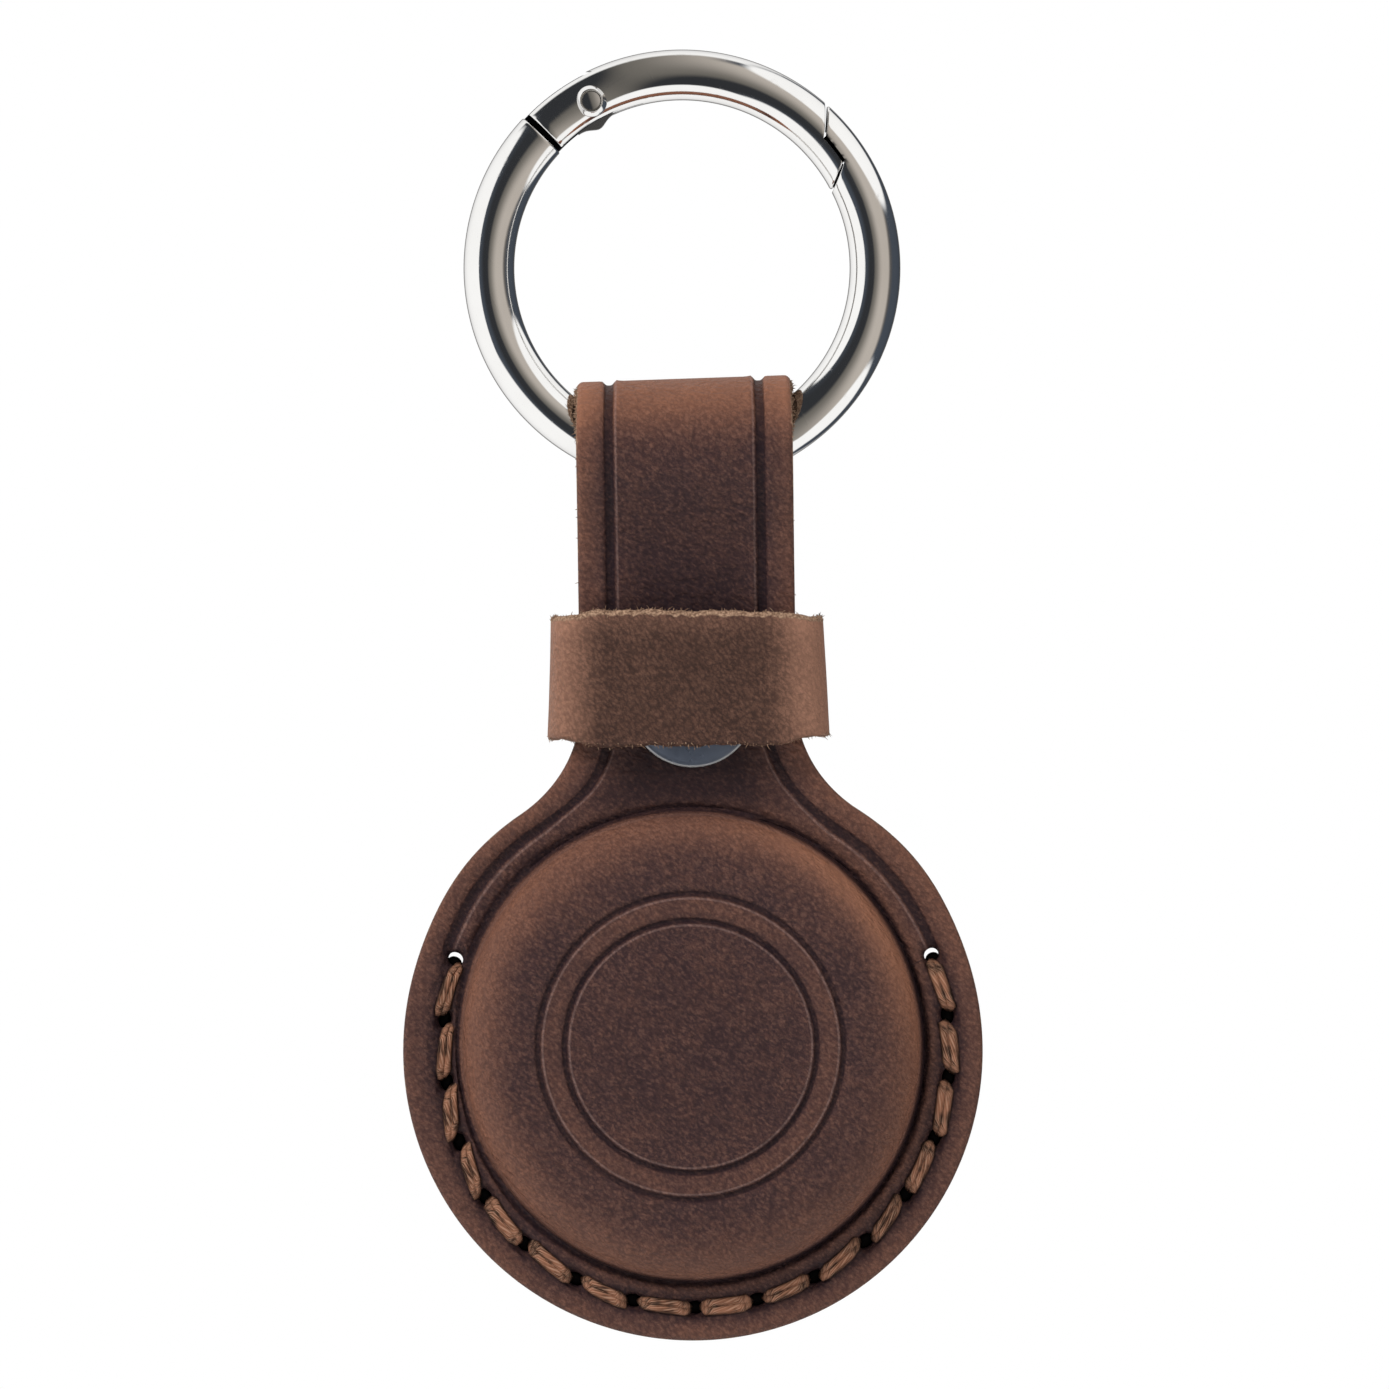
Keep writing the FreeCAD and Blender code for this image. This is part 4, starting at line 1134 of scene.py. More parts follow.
        # Painted shade round each stitch hole, wider at the right, and painted contact shadows along both sides of
        # the stitches.
        soil = np.maximum(soil, bell(self.hole_distance(x, z) / (0.86 - 0.12 * right), 0.0, MM))
        beside = np.hypot(x, z) - self.seam_radius
        line = 0.8 * bell(beside, 0.78 * MM, 0.24 * MM) + 0.45 * bell(beside, -0.8 * MM, 0.26 * MM)
        soil = np.maximum(soil, line * sewn)
        high = smooth_step((z - self.neck_head) / (self.loop_z - self.neck_head))
        raw = np.clip(1.0 - edge / (0.3 * MM), 0.0, 1.0) * (0.1 + 0.45 * high)
        creased = np.where(sewn > 0.5, 0.0, self.creased(x, z) + self.crease_inset)
        return {
            Mask.PULL: np.clip(pull, 0.0, 1.0),
            Mask.SOIL_AND_SHADE: np.clip(soil, 0.0, 1.0),
            Mask.RAW: raw,
            Mask.EDGE: np.where(past < 0.0, self.valley_radius, creased) / MM,
            Mask.RADIUS: radius / MM,
            Mask.VALLEY: valley / MM,
        }

    def lining(self, x: np.ndarray) -> dict[Mask, np.ndarray]:
        """Raw suede of the inner face, a little soiled."""
        return {Mask.RAW: np.ones_like(x), Mask.SOIL_AND_SHADE: np.full_like(x, 0.5)}

    def flat_patch(self, x: np.ndarray, z: np.ndarray, side: Side, outside: bool) -> Patch:
        """Disc or neck points of one face, from their place in front view.

        Args:
            x: distance to the right.
            z: distance up.
            side: front or back.
            outside: the outer face, or the inner one.

        Returns:
            The points and their masks.
        """
        height = self.outer(x, z) if outside else self.inner(x, z)
        points = stacked(x, side.value * height, z + self.disc_z)
        return Patch(points, self.tones(x, z) if outside else self.lining(x))

    def holes_in(self, rings: np.ndarray, side: Side, outside: bool) -> list[Patch]:
        """Ring of points between each hole's block of cells and its mouth, for all holes.

        The block's border is carried to an ellipse at the same bearings, and the mouth sinks a little.

        Args:
            rings: the disc's rings.
            side: front or back.
            outside: the outer face, or the inner one.

        Returns:
            One patch for each hole, from its border to its mouth.
        """
        low = int(np.argmin(np.abs(rings - self.block[0])))
        steps, half = self.block_steps, self.hole_rays
        up, turn = np.arange(steps), np.arange(2 * half)
        ring = np.concatenate((0 * turn, up, 0 * turn + steps, steps - up, [0])) + low
        ray = np.concatenate((turn, 0 * up + 2 * half, 2 * half - turn, 0 * up, [0])) - half
        patches = []
        for count, hole in enumerate(self.holes):
            last = count in (0, self.stitches)
            wide, tall = self.end_hole_half if last else self.hole_half
            radius = rings[ring]
            angle = self.rays[ray + self.first_hole_ray + count * self.rays_per_stitch]
            bearing = np.arctan2((radius - self.seam_radius) / tall, (angle - hole) * self.seam_radius / wide)
            mouth_radius = self.seam_radius + tall * np.sin(bearing)
            mouth_angle = hole + wide * np.cos(bearing) / self.seam_radius
            rows = 4 if outside else 2
            radius, angle = ruled(radius, mouth_radius, rows), ruled(angle, mouth_angle, rows)
            patch = self.flat_patch(radius * np.sin(angle), radius * np.cos(angle), side, outside)
            sunk = np.linspace(0.0, 1.0, rows + 1)[:, None] ** 2 * 0.4 * MM * outside
            patch.points[..., 1] -= side.value * sunk
            patches.append(patch)
        return patches

    def disc(self, skin: Skin, side: Side, outside: bool) -> tuple[np.ndarray, list[Patch]]:
        """Adds one face of the disc, with its stitch holes left open.

        Args:
            skin: the mesh that it goes into.
            side: front or back.
            outside: the outer face, or the inner one.

        Returns:
            Its grid of points, and the patches round its holes.
        """
        rings = self.rings(*(self.face_rings if outside else self.lining_rings))
        radius, angle = rings[:, None], self.rays[None, :]
        moved = smooth_step((18.2 * MM - radius) / (5.0 * MM))
        x = radius * np.sin(angle) + self.dome_place[0] * moved
        z = radius * np.cos(angle) + self.dome_place[1] * moved
        patch = self.flat_patch(x, z, side, outside)
        patch.kept = np.ones((len(rings) - 1, len(self.rays) - 1), bool)
        low = int(np.argmin(np.abs(rings - self.block[0])))
        for count in range(self.stitches + 1):
            middle = self.first_hole_ray + count * self.rays_per_stitch
            rays = slice(middle - self.hole_rays, middle + self.hole_rays)
            patch.kept[low:low + self.block_steps, rays] = False
        holes = self.holes_in(rings, side, outside)
        skin.patches += [patch, *holes]
        return patch.points, holes

    def neck(self, skin: Skin, side: Side, outside: bool) -> np.ndarray:
        """Adds the flared neck between the disc's top arc and the strap.

        A Coons patch: straight blends between the arc and the strap's line and between the two flare
        arcs, less the straight blend of the corners.

        Args:
            skin: the mesh that it goes into.
            side: front or back.
            outside: the outer face, or the inner one.

        Returns:
            Its grid of points, disc first.
        """
        steps = 26
        v = np.linspace(0.0, 1.0, steps + 1)
        u = np.linspace(0.0, 1.0, self.columns + 1)
        swing = self.top_angle + v * (0.5 * math.pi - self.top_angle)
        right = np.stack((self.flare_x - self.flare_radius * np.sin(swing),
                          self.flare_z - self.flare_radius * np.cos(swing)), axis=-1)
        left = right * (-1.0, 1.0)
        arc = self.disc_radius * np.stack((np.sin(self.top_rays), np.cos(self.top_rays)), axis=-1)
        line = np.stack((self.across, np.full_like(self.across, self.flare_z)), axis=-1)
        across, along = u[None, :, None], v[:, None, None]
        corners = (1 - along) * ((1 - across) * arc[0] + across * arc[-1])
        corners = corners + along * ((1 - across) * line[0] + across * line[-1])
        flat = (1 - along) * arc + along * line - corners
        flat = flat + (1 - across) * left[:, None] + across * right[:, None]
        patch = self.flat_patch(flat[..., 0], flat[..., 1], side, outside)
        skin.patches.append(patch)
        return patch.points

    def strap(self, skin: Skin, outside: bool) -> np.ndarray:
        """Adds the strap, up the front, round the fold's half circle and down the back.

        Each point stands off the inner face's path by the skin's height, square to the path.

        Args:
            skin: the mesh that it goes into.
            outside: the outer face, or the inner one.

        Returns:
            Its grid of points, front foot first.
        """
        arc_rows = 2 * (self.strap_rows // 5)
        climb = np.linspace(self.flare_z, self.loop_z, (self.strap_rows - arc_rows) // 2 + 1)
        swing = np.linspace(0.0, math.pi, arc_rows + 1)[1:-1]
        gap = self.half_gap(climb)
        ones, zeros = np.ones_like(climb), np.zeros_like(climb)
        out_y = np.concatenate((-ones, -np.cos(swing), ones))
        out_z = np.concatenate((zeros, np.sin(swing), zeros))
        base_y = np.concatenate((-gap, -self.loop_gap * np.cos(swing), gap[::-1]))
        base_z = np.concatenate((climb, self.loop_z + self.loop_gap * np.sin(swing), climb[::-1]))
        x = np.broadcast_to(self.across, (len(out_y), self.columns + 1))
        z = np.broadcast_to(base_z[:, None], x.shape)
        lift = (self.thickness + self.relief(x, z)) if outside else np.zeros_like(x)
        narrow = 1.0 - 0.014 * bell(out_z[:, None], 1.0, 0.45) * outside
        skew = self.fold_skew * x * smooth_step((z - self.neck_head) / (self.loop_z - self.neck_head))
        points = stacked(
            x * narrow,
            base_y[:, None] + out_y[:, None] * lift,
            base_z[:, None] + out_z[:, None] * lift + skew + self.disc_z,
        )
        masks = self.tones(x, z + out_z[:, None] * lift) if outside else self.lining(x)
        skin.add(points, masks=masks)
        return points

    def build(self, finishes: Finishes) -> None:
        """Sews the faces, the hole walls and the raw edges into one strip of leather.

        Args:
            finishes: the materials by slot.
        """
        skin = Skin("moulded_hide", settle=self.settle)
        faces = {}
        for outside in (True, False):
            for side in Side:
                disc, holes = self.disc(skin, side, outside)
                faces[side, outside] = disc, self.neck(skin, side, outside), holes
            faces["strap", outside] = self.strap(skin, outside)
        borders = {}
        for outside in (True, False):
            front, back = (faces[side, outside] for side in Side)
            strap = faces["strap", outside]
            for place, column in (("left", 0), ("right", -1)):
                borders[place, outside] = np.concatenate((
                    front[1][:-1, column], strap[:, column], back[1][::-1, column][1:],
                ))
            for side, face in zip(Side, (front, back)):
                borders[side, outside] = face[0][-1, self.columns:]
        for place in ("left", "right", *Side):
            wall = ruled(borders[place, True], borders[place, False], 3)
            high = smooth_step((wall[..., 2] - self.disc_z - self.neck_foot) / (self.loop_z - self.neck_foot))
            skin.add(wall, masks={Mask.RAW: np.ones_like(high), Mask.SOIL_AND_SHADE: 0.52 - 0.2 * high})
        # The stitch holes' walls are painted fully dark: painted shade down the holes.
        for side in Side:
            for outer, inner in zip(faces[side, True][2], faces[side, False][2]):
                wall = ruled(outer.points[-1], inner.points[-1], 2)
                skin.add(wall, masks={Mask.SOIL_AND_SHADE: np.ones(wall.shape[:2])})
        skin.piece(finishes.slots, "holder", "oiled_leather", "leather_body", crease=55.0)


@dataclass
class Seam:
    """Saddle stitches of flat two-ply waxed thread round the lower half of the disc."""

    hide: Hide
    reach: float = 1.95 * MM
    ply: tuple[float, float] = (0.36 * MM, 0.27 * MM)
    spread: float = 0.3 * MM
    twist: float = math.radians(150.0)
    squareness: float = 7.0
    seat: float = 0.98 * MM
    lift: float = 0.3 * MM
    tilt: float = 0.22 * MM
    root: float = 0.15 * MM
    plug: float = 0.3 * MM
    end_shift: float = 0.38 * MM
    seed: int = 7

    def ply_points(self, middle: float, side: Side, phase: float,
                   lay: np.ndarray) -> tuple[np.ndarray, np.ndarray]:
        """One ply of one stitch.

        The path is half a superellipse that stands up from one hole and goes down into the next. The
        ply's flat oval winds about it, and its place across and above the path turns with the twist.

        Args:
            middle: angle of the stitch's middle, from the top.
            side: front or back.
            phase: where the ply starts to wind.
            lay: how far the stitch departs in length, place, width and tilt, each about -1 to 1.

        Returns:
            Grid of points, along by around, and its map in millimetres.
        """
        run = np.linspace(0.0, math.pi, 27)[:, None]
        round_ = np.linspace(0.0, TURN, 15)[None, :]
        power = 2.0 / self.squareness
        along = -np.sign(np.cos(run)) * np.abs(np.cos(run)) ** power * self.reach * (1.0 + 0.045 * lay[0])
        stand = np.sin(run) ** power
        wind = phase + self.twist * (run / math.pi - 0.5)
        swell = (0.72 + 0.28 * np.sin(run) ** 0.35) * (1.0 + 0.07 * lay[2])
        swell = swell * (1.0 + 0.06 * np.sin(6.0 * run + 3.0 * phase + 5.0 * lay[1]))
        across = self.spread * np.cos(wind) * swell + self.ply[0] * np.cos(round_) * swell
        above = 0.4 * self.spread * np.sin(wind) + self.ply[1] * np.sin(round_) * np.clip(stand, 0.35, 1.0)
        push = -self.ply[1] * np.sin(round_) * (1.0 - stand) * np.sign(np.cos(run)) * 1.2
        height = self.root + (self.seat + self.lift - self.root) * stand + above * stand
        radius = self.hide.seam_radius + across + 0.05 * MM * lay[1]
        tilt = np.clip((math.pi - middle) / 0.6, -1.0, 1.0) + 0.4 * lay[3]
        radius = radius + tilt * self.tilt * along / self.reach
        angle = middle + (along + push + 0.45 * tilt * across) / self.hide.seam_radius
        points = stacked(
            radius * np.sin(angle), side.value * height, radius * np.cos(angle) + self.hide.disc_z,
        )
        chart = np.stack(np.broadcast_arrays(run / MM * self.reach, round_ / TURN), axis=-1)
        return points, chart

    def plug_points(self, count: int, hole: float) -> np.ndarray:
        """Strands that cross inside a hole: a squat oval drum, moved to one side in the end holes.

        Args:
            count: number of the hole.
            hole: its angle from the top.

        Returns:
            Grid of points, closed at both faces.
        """
        last = count in (0, self.hide.stitches)
        wide, tall = self.hide.end_hole_half if last else self.hide.hole_half
        shift = math.copysign(self.end_shift, 0.5 * self.hide.stitches - count) if last else 0.0
        round_ = np.linspace(0.0, TURN, 17)[None, :]
        share = np.array((0.0, 0.7, 1.04, 1.04, 0.7, 0.0))[:, None]
        height = self.plug * np.array((-1.0, -0.95, -0.5, 0.5, 0.95, 1.0))[:, None]
        radius = self.hide.seam_radius + tall * share * np.sin(round_)
        angle = hole + (shift + wide * share * np.cos(round_)) / self.hide.seam_radius
        return stacked(radius * np.sin(angle), height, radius * np.cos(angle) + self.hide.disc_z)

    def build(self, finishes: Finishes) -> None:
        """Winds two plies for every stitch, front and back, with small differences of lay.

        Args:
            finishes: the materials by slot.
        """
        skin = Skin("seam_stitches", settle=self.hide.settle)
        draw = np.random.default_rng(self.seed)
        middles = self.hide.holes[:-1] + 0.5 * self.hide.pitch
        for side in Side:
            lays = draw.normal(0.0, 1.0, (self.hide.stitches, 5)).clip(-1.6, 1.6)
            for middle, lay in zip(middles, lays):
                for half_turn in (0.0, math.pi):
                    wind = half_turn + math.radians(14.0) * lay[4]
                    points, chart = self.ply_points(middle, side, wind, lay)
                    # Painted shade: the ply darkens where it goes down into the holes and along its sides, most on
                    # the outer side.
                    deep = np.clip(1.0 - (np.abs(points[..., 1]) - 0.7 * MM) / (0.45 * MM), 0.0, 1.0)
                    round_ = TURN * chart[..., 1]
                    outer = smooth_step(0.5 + math.cos(half_turn) * np.cos(round_))
                    flank = smooth_step(1.2 - 1.1 * np.sin(round_)) * (0.3 + 0.6 * outer)
                    deep = np.maximum(deep, flank)
                    skin.add(points, chart=chart, masks={Mask.SOIL_AND_SHADE: deep})
                    for end in (0, -1):
                        tip = np.broadcast_to(points[end].mean(axis=0), points[end].shape)
                        skin.add(np.stack((points[end], tip)))
        # The plugs in the holes take the near-black shade colour: painted shade inside the holes.
        for count, hole in enumerate(self.hide.holes):
            plug = self.plug_points(count, hole)
            skin.add(plug, masks={Mask.SOIL_AND_SHADE: np.ones(plug.shape[:2])})
        skin.piece(finishes.slots, "holder", "waxed_thread", "seam_thread")


KEEPER_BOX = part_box("keeper_loop")


@dataclass
class Keeper:
    """Leather band round the neck, butt jointed behind, with raw top and bottom edges."""

    top: float = KEEPER_BOX[1].z + 0.22 * MM
    bottom: float = KEEPER_BOX[0].z - 0.3 * MM
    half_width: float = KEEPER_BOX[1].x + 0.2 * MM
    front: float = KEEPER_BOX[0].y
    back: float = KEEPER_BOX[1].y
    thickness: float = 1.2 * MM
    squareness: float = 7.0
    slit: float = 0.06 * MM
    edge_round: float = 0.42 * MM
    flare: float = 0.4 * MM
    fall: float = 0.026
    droop: tuple[float, float] = (0.06, 0.035)
    end_lift: float = 0.062

    def section(self) -> tuple[np.ndarray, np.ndarray]:
        """Closed outline of the band's section, up the outer face and down the inner one.

        Two long faces and two short edges with quarter-round corners.

        Returns:
            Distance out from the inner face, and share of the height from 0 at the bottom to 1.
        """
        height = self.top - self.bottom
        corner = np.linspace(0.0, 0.5 * math.pi, 6)
        face = graded(self.edge_round, height - self.edge_round, 26, [])
        out, up = [], []
        for flat, end, run, turn in ((self.thickness, height, face, -1.0), (0.0, 0.0, face[::-1], 1.0)):
            arc_out = flat + turn * self.edge_round * (1.0 - np.cos(corner))
            arc_up = end + turn * self.edge_round * (1.0 - np.sin(corner))
            other = self.thickness - arc_out[::-1]
            out += [np.full_like(run, flat), arc_out[1:], other[:-1]]
            up += [run, arc_up[1:], arc_up[::-1][:-1]]
        out, up = np.concatenate(out), np.concatenate(up)
        return np.append(out, out[0]), np.append(up, up[0]) / height

    def path(self) -> tuple[np.ndarray, np.ndarray, np.ndarray]:
        """Inner face's loop: a superellipse round the neck, stepped evenly from slit to slit.

        Returns:
            Share of the way round as an angle, the points in XY and their outward directions.
        """
        quarter = 0.5 * math.pi
        fine = np.linspace(quarter, quarter + TURN, 20001)
        half_x = self.half_width - self.thickness
        half_y = 0.5 * (self.back - self.front) - self.thickness
        power, steep = 2.0 / self.squareness, self.squareness - 1.0
        cos, sin = np.cos(fine), np.sin(fine)
        x = half_x * np.sign(cos) * np.abs(cos) ** power
        y = half_y * np.sign(sin) * np.abs(sin) ** power
        run = np.concatenate(([0.0], np.cumsum(np.hypot(np.diff(x), np.diff(y)))))
        slit = 0.5 * self.slit
        ends = [(slit, 0.3 * MM, 8.0), (run[-1] - slit, 0.3 * MM, 8.0)]
        way = graded(slit, run[-1] - slit, 260, ends)
        x, y = np.interp(way, run, x), np.interp(way, run, y)
        out = np.stack((np.sign(x) * np.abs(x / half_x) ** steep / half_x,
                        np.sign(y) * np.abs(y / half_y) ** steep / half_y), axis=-1)
        out /= np.linalg.norm(out, axis=-1, keepdims=True)
        angle = quarter + TURN * way / run[-1]
        return angle, np.stack((x, y + 0.5 * (self.front + self.back)), axis=-1), out

    def points(self) -> tuple[np.ndarray, dict[Mask, np.ndarray]]:
        """Sweeps the section round the loop.

        The band spreads a little towards its bottom, its top edge falls to the right, its ends are bent,
        and its raw edges wander by a few hundredths.

        Returns:
            Grid of points, loop by section, and its masks.
        """
        out, up = self.section()
        angle, path, outward = self.path()
        wander = np.sin(9.0 * angle) + 0.7 * np.sin(23.0 * angle + 1.3) + 0.5 * np.sin(61.0 * angle)
        wave = 0.055 * MM * wander[:, None] * (2.0 * np.abs(up - 0.5)) ** 6
        spread = 1.0 + self.flare / self.half_width * (1.0 - up)
        bulge = 0.05 * MM * np.sin(3.0 * angle + 0.6)[:, None] * np.sin(math.pi * up)
        stand = out + bulge * (out > 0.5 * self.thickness)
        x = (path[:, :1] + outward[:, :1] * stand) * spread
        y = path[:, 1:] + outward[:, 1:] * stand
        bent = smooth_step((np.abs(path[:, :1]) / self.half_width - 0.62) / 0.26)
        droop = np.where(path[:, :1] < 0.0, *self.droop)
        level = up - bent * (droop * up - self.end_lift * (1.0 - up))
        z = self.bottom + (self.top - self.bottom) * level + wave - self.fall * x * up
        nearness = np.minimum(up, 1.0 - up) * (self.top - self.bottom)
        raw = np.where(up > 0.5, 1.2 - nearness / (0.6 * MM), 0.4 - nearness / (0.5 * MM)).clip(0.0, 1.0)
        raw = np.where(out < 0.25 * self.thickness, 1.0, raw)
        ends = np.abs(path[:, :1]) / self.half_width
        # The ends are lighter where the band bends, as pull-up, and the right end more: painted light where the
        # key lamp falls off.
        light = np.where(path[:, :1] < 0.0, 0.74 * smooth_step((ends - 0.57) / 0.33),
                         0.98 * smooth_step((ends - 0.53) / 0.38))
        pull = 0.02 + light + np.where(up > 0.5, 0.16, -0.05) * bell(nearness, 0.9 * MM, 0.7 * MM)
        soil = 0.2 * smooth_step((nearness - 0.6 * MM) / (3.0 * MM)) * (1.0 - ends)
        shape = np.broadcast(x, z).shape
        masks = {Mask.PULL: pull, Mask.SOIL_AND_SHADE: soil, Mask.RAW: raw}
        return stacked(x, y, z), {key: np.broadcast_to(value, shape) for key, value in masks.items()}

    def build(self, finishes: Finishes) -> None:
        """Sews the band and closes its two cut ends.

        Args:
            finishes: the materials by slot.
        """
        skin = Skin("keeper_band")
        points, masks = self.points()
        skin.add(points, masks=masks)
        for end in (0, -1):
            loop = points[end, :-1]
            half = len(loop) // 2
            outer, inner = loop[:half], loop[half:][::-1]
            cap = ruled(outer, inner, 2)
            skin.add(cap, masks={Mask.RAW: np.ones(cap.shape[:2])})
        skin.piece(finishes.slots, "keeper", "keeper_leather", "keeper_loop", crease=60.0)


RING_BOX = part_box("ring_body")
GATE_HINGE = next(joint for joint in frame["joints"] if joint["name"] == "gate_hinge")


@dataclass
class GateRing:
    """Round wire ring with a hinged gate arc, its rivet and its leaf spring.

    Angles run anticlockwise from +X in front view. Across the wire, lean is the distance out from its
    centreline and the front is at -Y.
    """

    wire: float = 2.0 * MM
    mean: float = RING_BOX[1].x - 2.0 * MM
    heel: float = 135.0
    heel_gap: float = 0.8
    nose_end: float = 42.0
    nose_lip: float = 33.0
    nose_slant: float = 6.0
    nose_gap: float = 0.8
    lip_gap: float = 0.14 * MM
    tongue_half: tuple[float, float] = (1.86 * MM, 0.8 * MM)
    fork_half: float = 0.9 * MM
    fork_radius: float = 2.1 * MM
    rivet_head: float = 1.26 * MM
    rivet_place: tuple[float, float] = (0.1 * MM, -0.3 * MM)
    rivet_top: float = 2.32 * MM
    soft: float = 0.17 * MM
    leaf_span: tuple[float, float] = (127.0, 102.4)
    leaf_lean: tuple[float, float] = (-1.62 * MM, -1.92 * MM)
    leaf_swell: tuple[float, float, float] = (0.55 * MM, 119.6, 3.8)
    leaf_half: float = 0.6 * MM

    def __post_init__(self) -> None:
        """Finds the hinge's angle from its joint."""
        self.pin = GATE_HINGE["pos_m"][0], GATE_HINGE["pos_m"][2]
        self.pin_angle = math.degrees(math.atan2(self.pin[1], self.pin[0]))

    def at(self, lean: np.ndarray, depth: np.ndarray, angle: np.ndarray) -> np.ndarray:
        """Points from the distance out, the depth along Y and the angle in degrees."""
        turn = np.radians(angle)
        return stacked((self.mean + lean) * np.cos(turn), depth, (self.mean + lean) * np.sin(turn))

    def past_pin(self, lean: np.ndarray, radius: float) -> np.ndarray:
        """Angle where a circle about the pin lies towards the nose, at a distance out."""
        reach = np.sqrt(np.maximum(radius**2 - lean**2, 0.0))
        return self.pin_angle - np.degrees(reach / (self.mean + lean))

    def run(self, around: np.ndarray, first: np.ndarray, last: np.ndarray, rows: int,
            soft: np.ndarray) -> tuple[np.ndarray, np.ndarray, np.ndarray]:
        """Stretch of wire whose last rows roll in by a quarter circle.

        Args:
            around: angle round the wire of each column.
            first: angle round the ring where each column starts.
            last: angle where it ends.
            rows: steps of the plain part.
            soft: radius of the quarter circle for each column.

        Returns:
            Distance out, depth and angle, rows by columns.
        """
        roll = np.linspace(0.0, 0.5 * math.pi, 6)[1:, None]
        back = np.sign(last - first) * np.degrees(soft / self.mean)
        angle = np.concatenate((ruled(first, last - back, rows), last - back * (1.0 - np.sin(roll))))
        drop = np.concatenate((np.zeros((rows + 1, len(around))), soft * (1.0 - np.cos(roll))))
        radius = self.wire - drop
        return radius * np.cos(around), -radius * np.sin(around), angle

    def dark(self, skin: Skin, points: np.ndarray) -> None:
        """Adds a face that lies inside a joint, where dirt collects and painted shade darkens it."""
        skin.add(points, masks={Mask.SOIL_AND_SHADE: np.ones(points.shape[:2])})

    def close(self, skin: Skin, rim: tuple[np.ndarray, ...], lean: np.ndarray, depth: np.ndarray,
              angle: np.ndarray) -> None:
        """Closes an end with straight lines from its last row to a line across it.

        Args:
            skin: the mesh that it goes into.
            rim: distance out, depth and angle of the end's rows.
            lean: distance out of the line.
            depth: its depth.
            angle: its angle.
        """
        line = (lean, depth, angle)
        ends = (ruled(row[-1], np.broadcast_to(to, row[-1].shape), 6) for row, to in zip(rim, line))
        self.dark(skin, self.at(*ends))

    def stepped_nose(self, skin: Skin, long_half: np.ndarray, short_half: np.ndarray, start: np.ndarray,
                     ends: tuple[float, float], step: float, spigot: float = 0.0) -> None:
        """Sweeps the nose end, where half of the wire reaches further than the other half.

        Both halves run to the short half's end, then the long half runs on as a D with a flat side. The
        end faces slant in proportion to the distance out, and their round edges are rolled in.

        Args:
            skin: the mesh that it goes into.
            long_half: angles round the wire of the long half.
            short_half: the same for the short half, from the long half's last to its first.
            start: angle where each column starts, long half first.
            ends: angles of the short and the long end on the centreline.
            step: distance out of the flat side.
            spigot: degrees that a smaller stub stands out of each end face, to close the gap's view.
        """
        rows = 150 if abs(start.mean() - ends[0]) > 120.0 else 70
        slant = self.nose_slant / self.wire
        knee, tip = (end + slant * step for end in ends)
        count = len(long_half)
        soft = self.soft * np.sqrt(np.sin(np.linspace(0.0, math.pi, len(short_half))))
        short_end = ends[0] + slant * self.wire * np.cos(short_half)
        rim = self.run(short_half, start[count - 1:], short_end, rows, soft)
        skin.add(self.at(*rim))
        depth = -self.wire * np.sin(short_half)
        self.close(skin, rim, step, depth, knee)
        back = self.run(long_half, start[:count], np.full(count, knee), rows, np.zeros(count))
        skin.add(self.at(*back))
        soft = self.soft * np.sqrt(np.sin(np.linspace(0.0, math.pi, count)))
        long_end = ends[1] + slant * self.wire * np.cos(long_half)
        rim = self.run(long_half, np.full(count, knee), long_end, 12, soft)
        skin.add(self.at(*rim))
        depth = -self.wire * np.sin(long_half)
        self.close(skin, rim, step, depth, tip)
        side = np.broadcast_to(rim[2][:, :1], rim[2].shape)
        self.dark(skin, self.at(np.full_like(side, step), np.broadcast_to(depth, side.shape), side))
        if not spigot:
            return
        for half, place in ((short_half, ends[0]), (long_half, ends[1])):
            lean, depth = self.wire * np.cos(half), -0.72 * self.wire * np.sin(half)
            middle = 0.5 * (lean.min() + lean.max())
            lean = middle + 0.72 * (lean - middle)
            face = ruled(lean, np.full_like(lean, middle + 0.72 * (step - middle)), 2)
            for edge in (face[0], face[-1]):
                line = place + slant * edge
                self.dark(skin, self.at(edge, depth, ruled(line - spigot, line + spigot, 2)))
            for reach in (-spigot, spigot):
                self.dark(skin, self.at(face, depth, place + slant * face + reach))
        lean = step * np.array((-0.6, 1.0, 1.0, -0.6, -0.6))
        depth = 0.68 * self.wire * np.array((-1.0, -1.0, 1.0, 1.0, -1.0))
        rib = self.at(np.broadcast_to(lean, (9, 5)), depth, np.linspace(knee, tip, 9)[:, None])
        self.dark(skin, rib)
        for end in (0, -1):
            self.dark(skin, np.stack((rib[end, [0, 1]], rib[end, [3, 2]])))

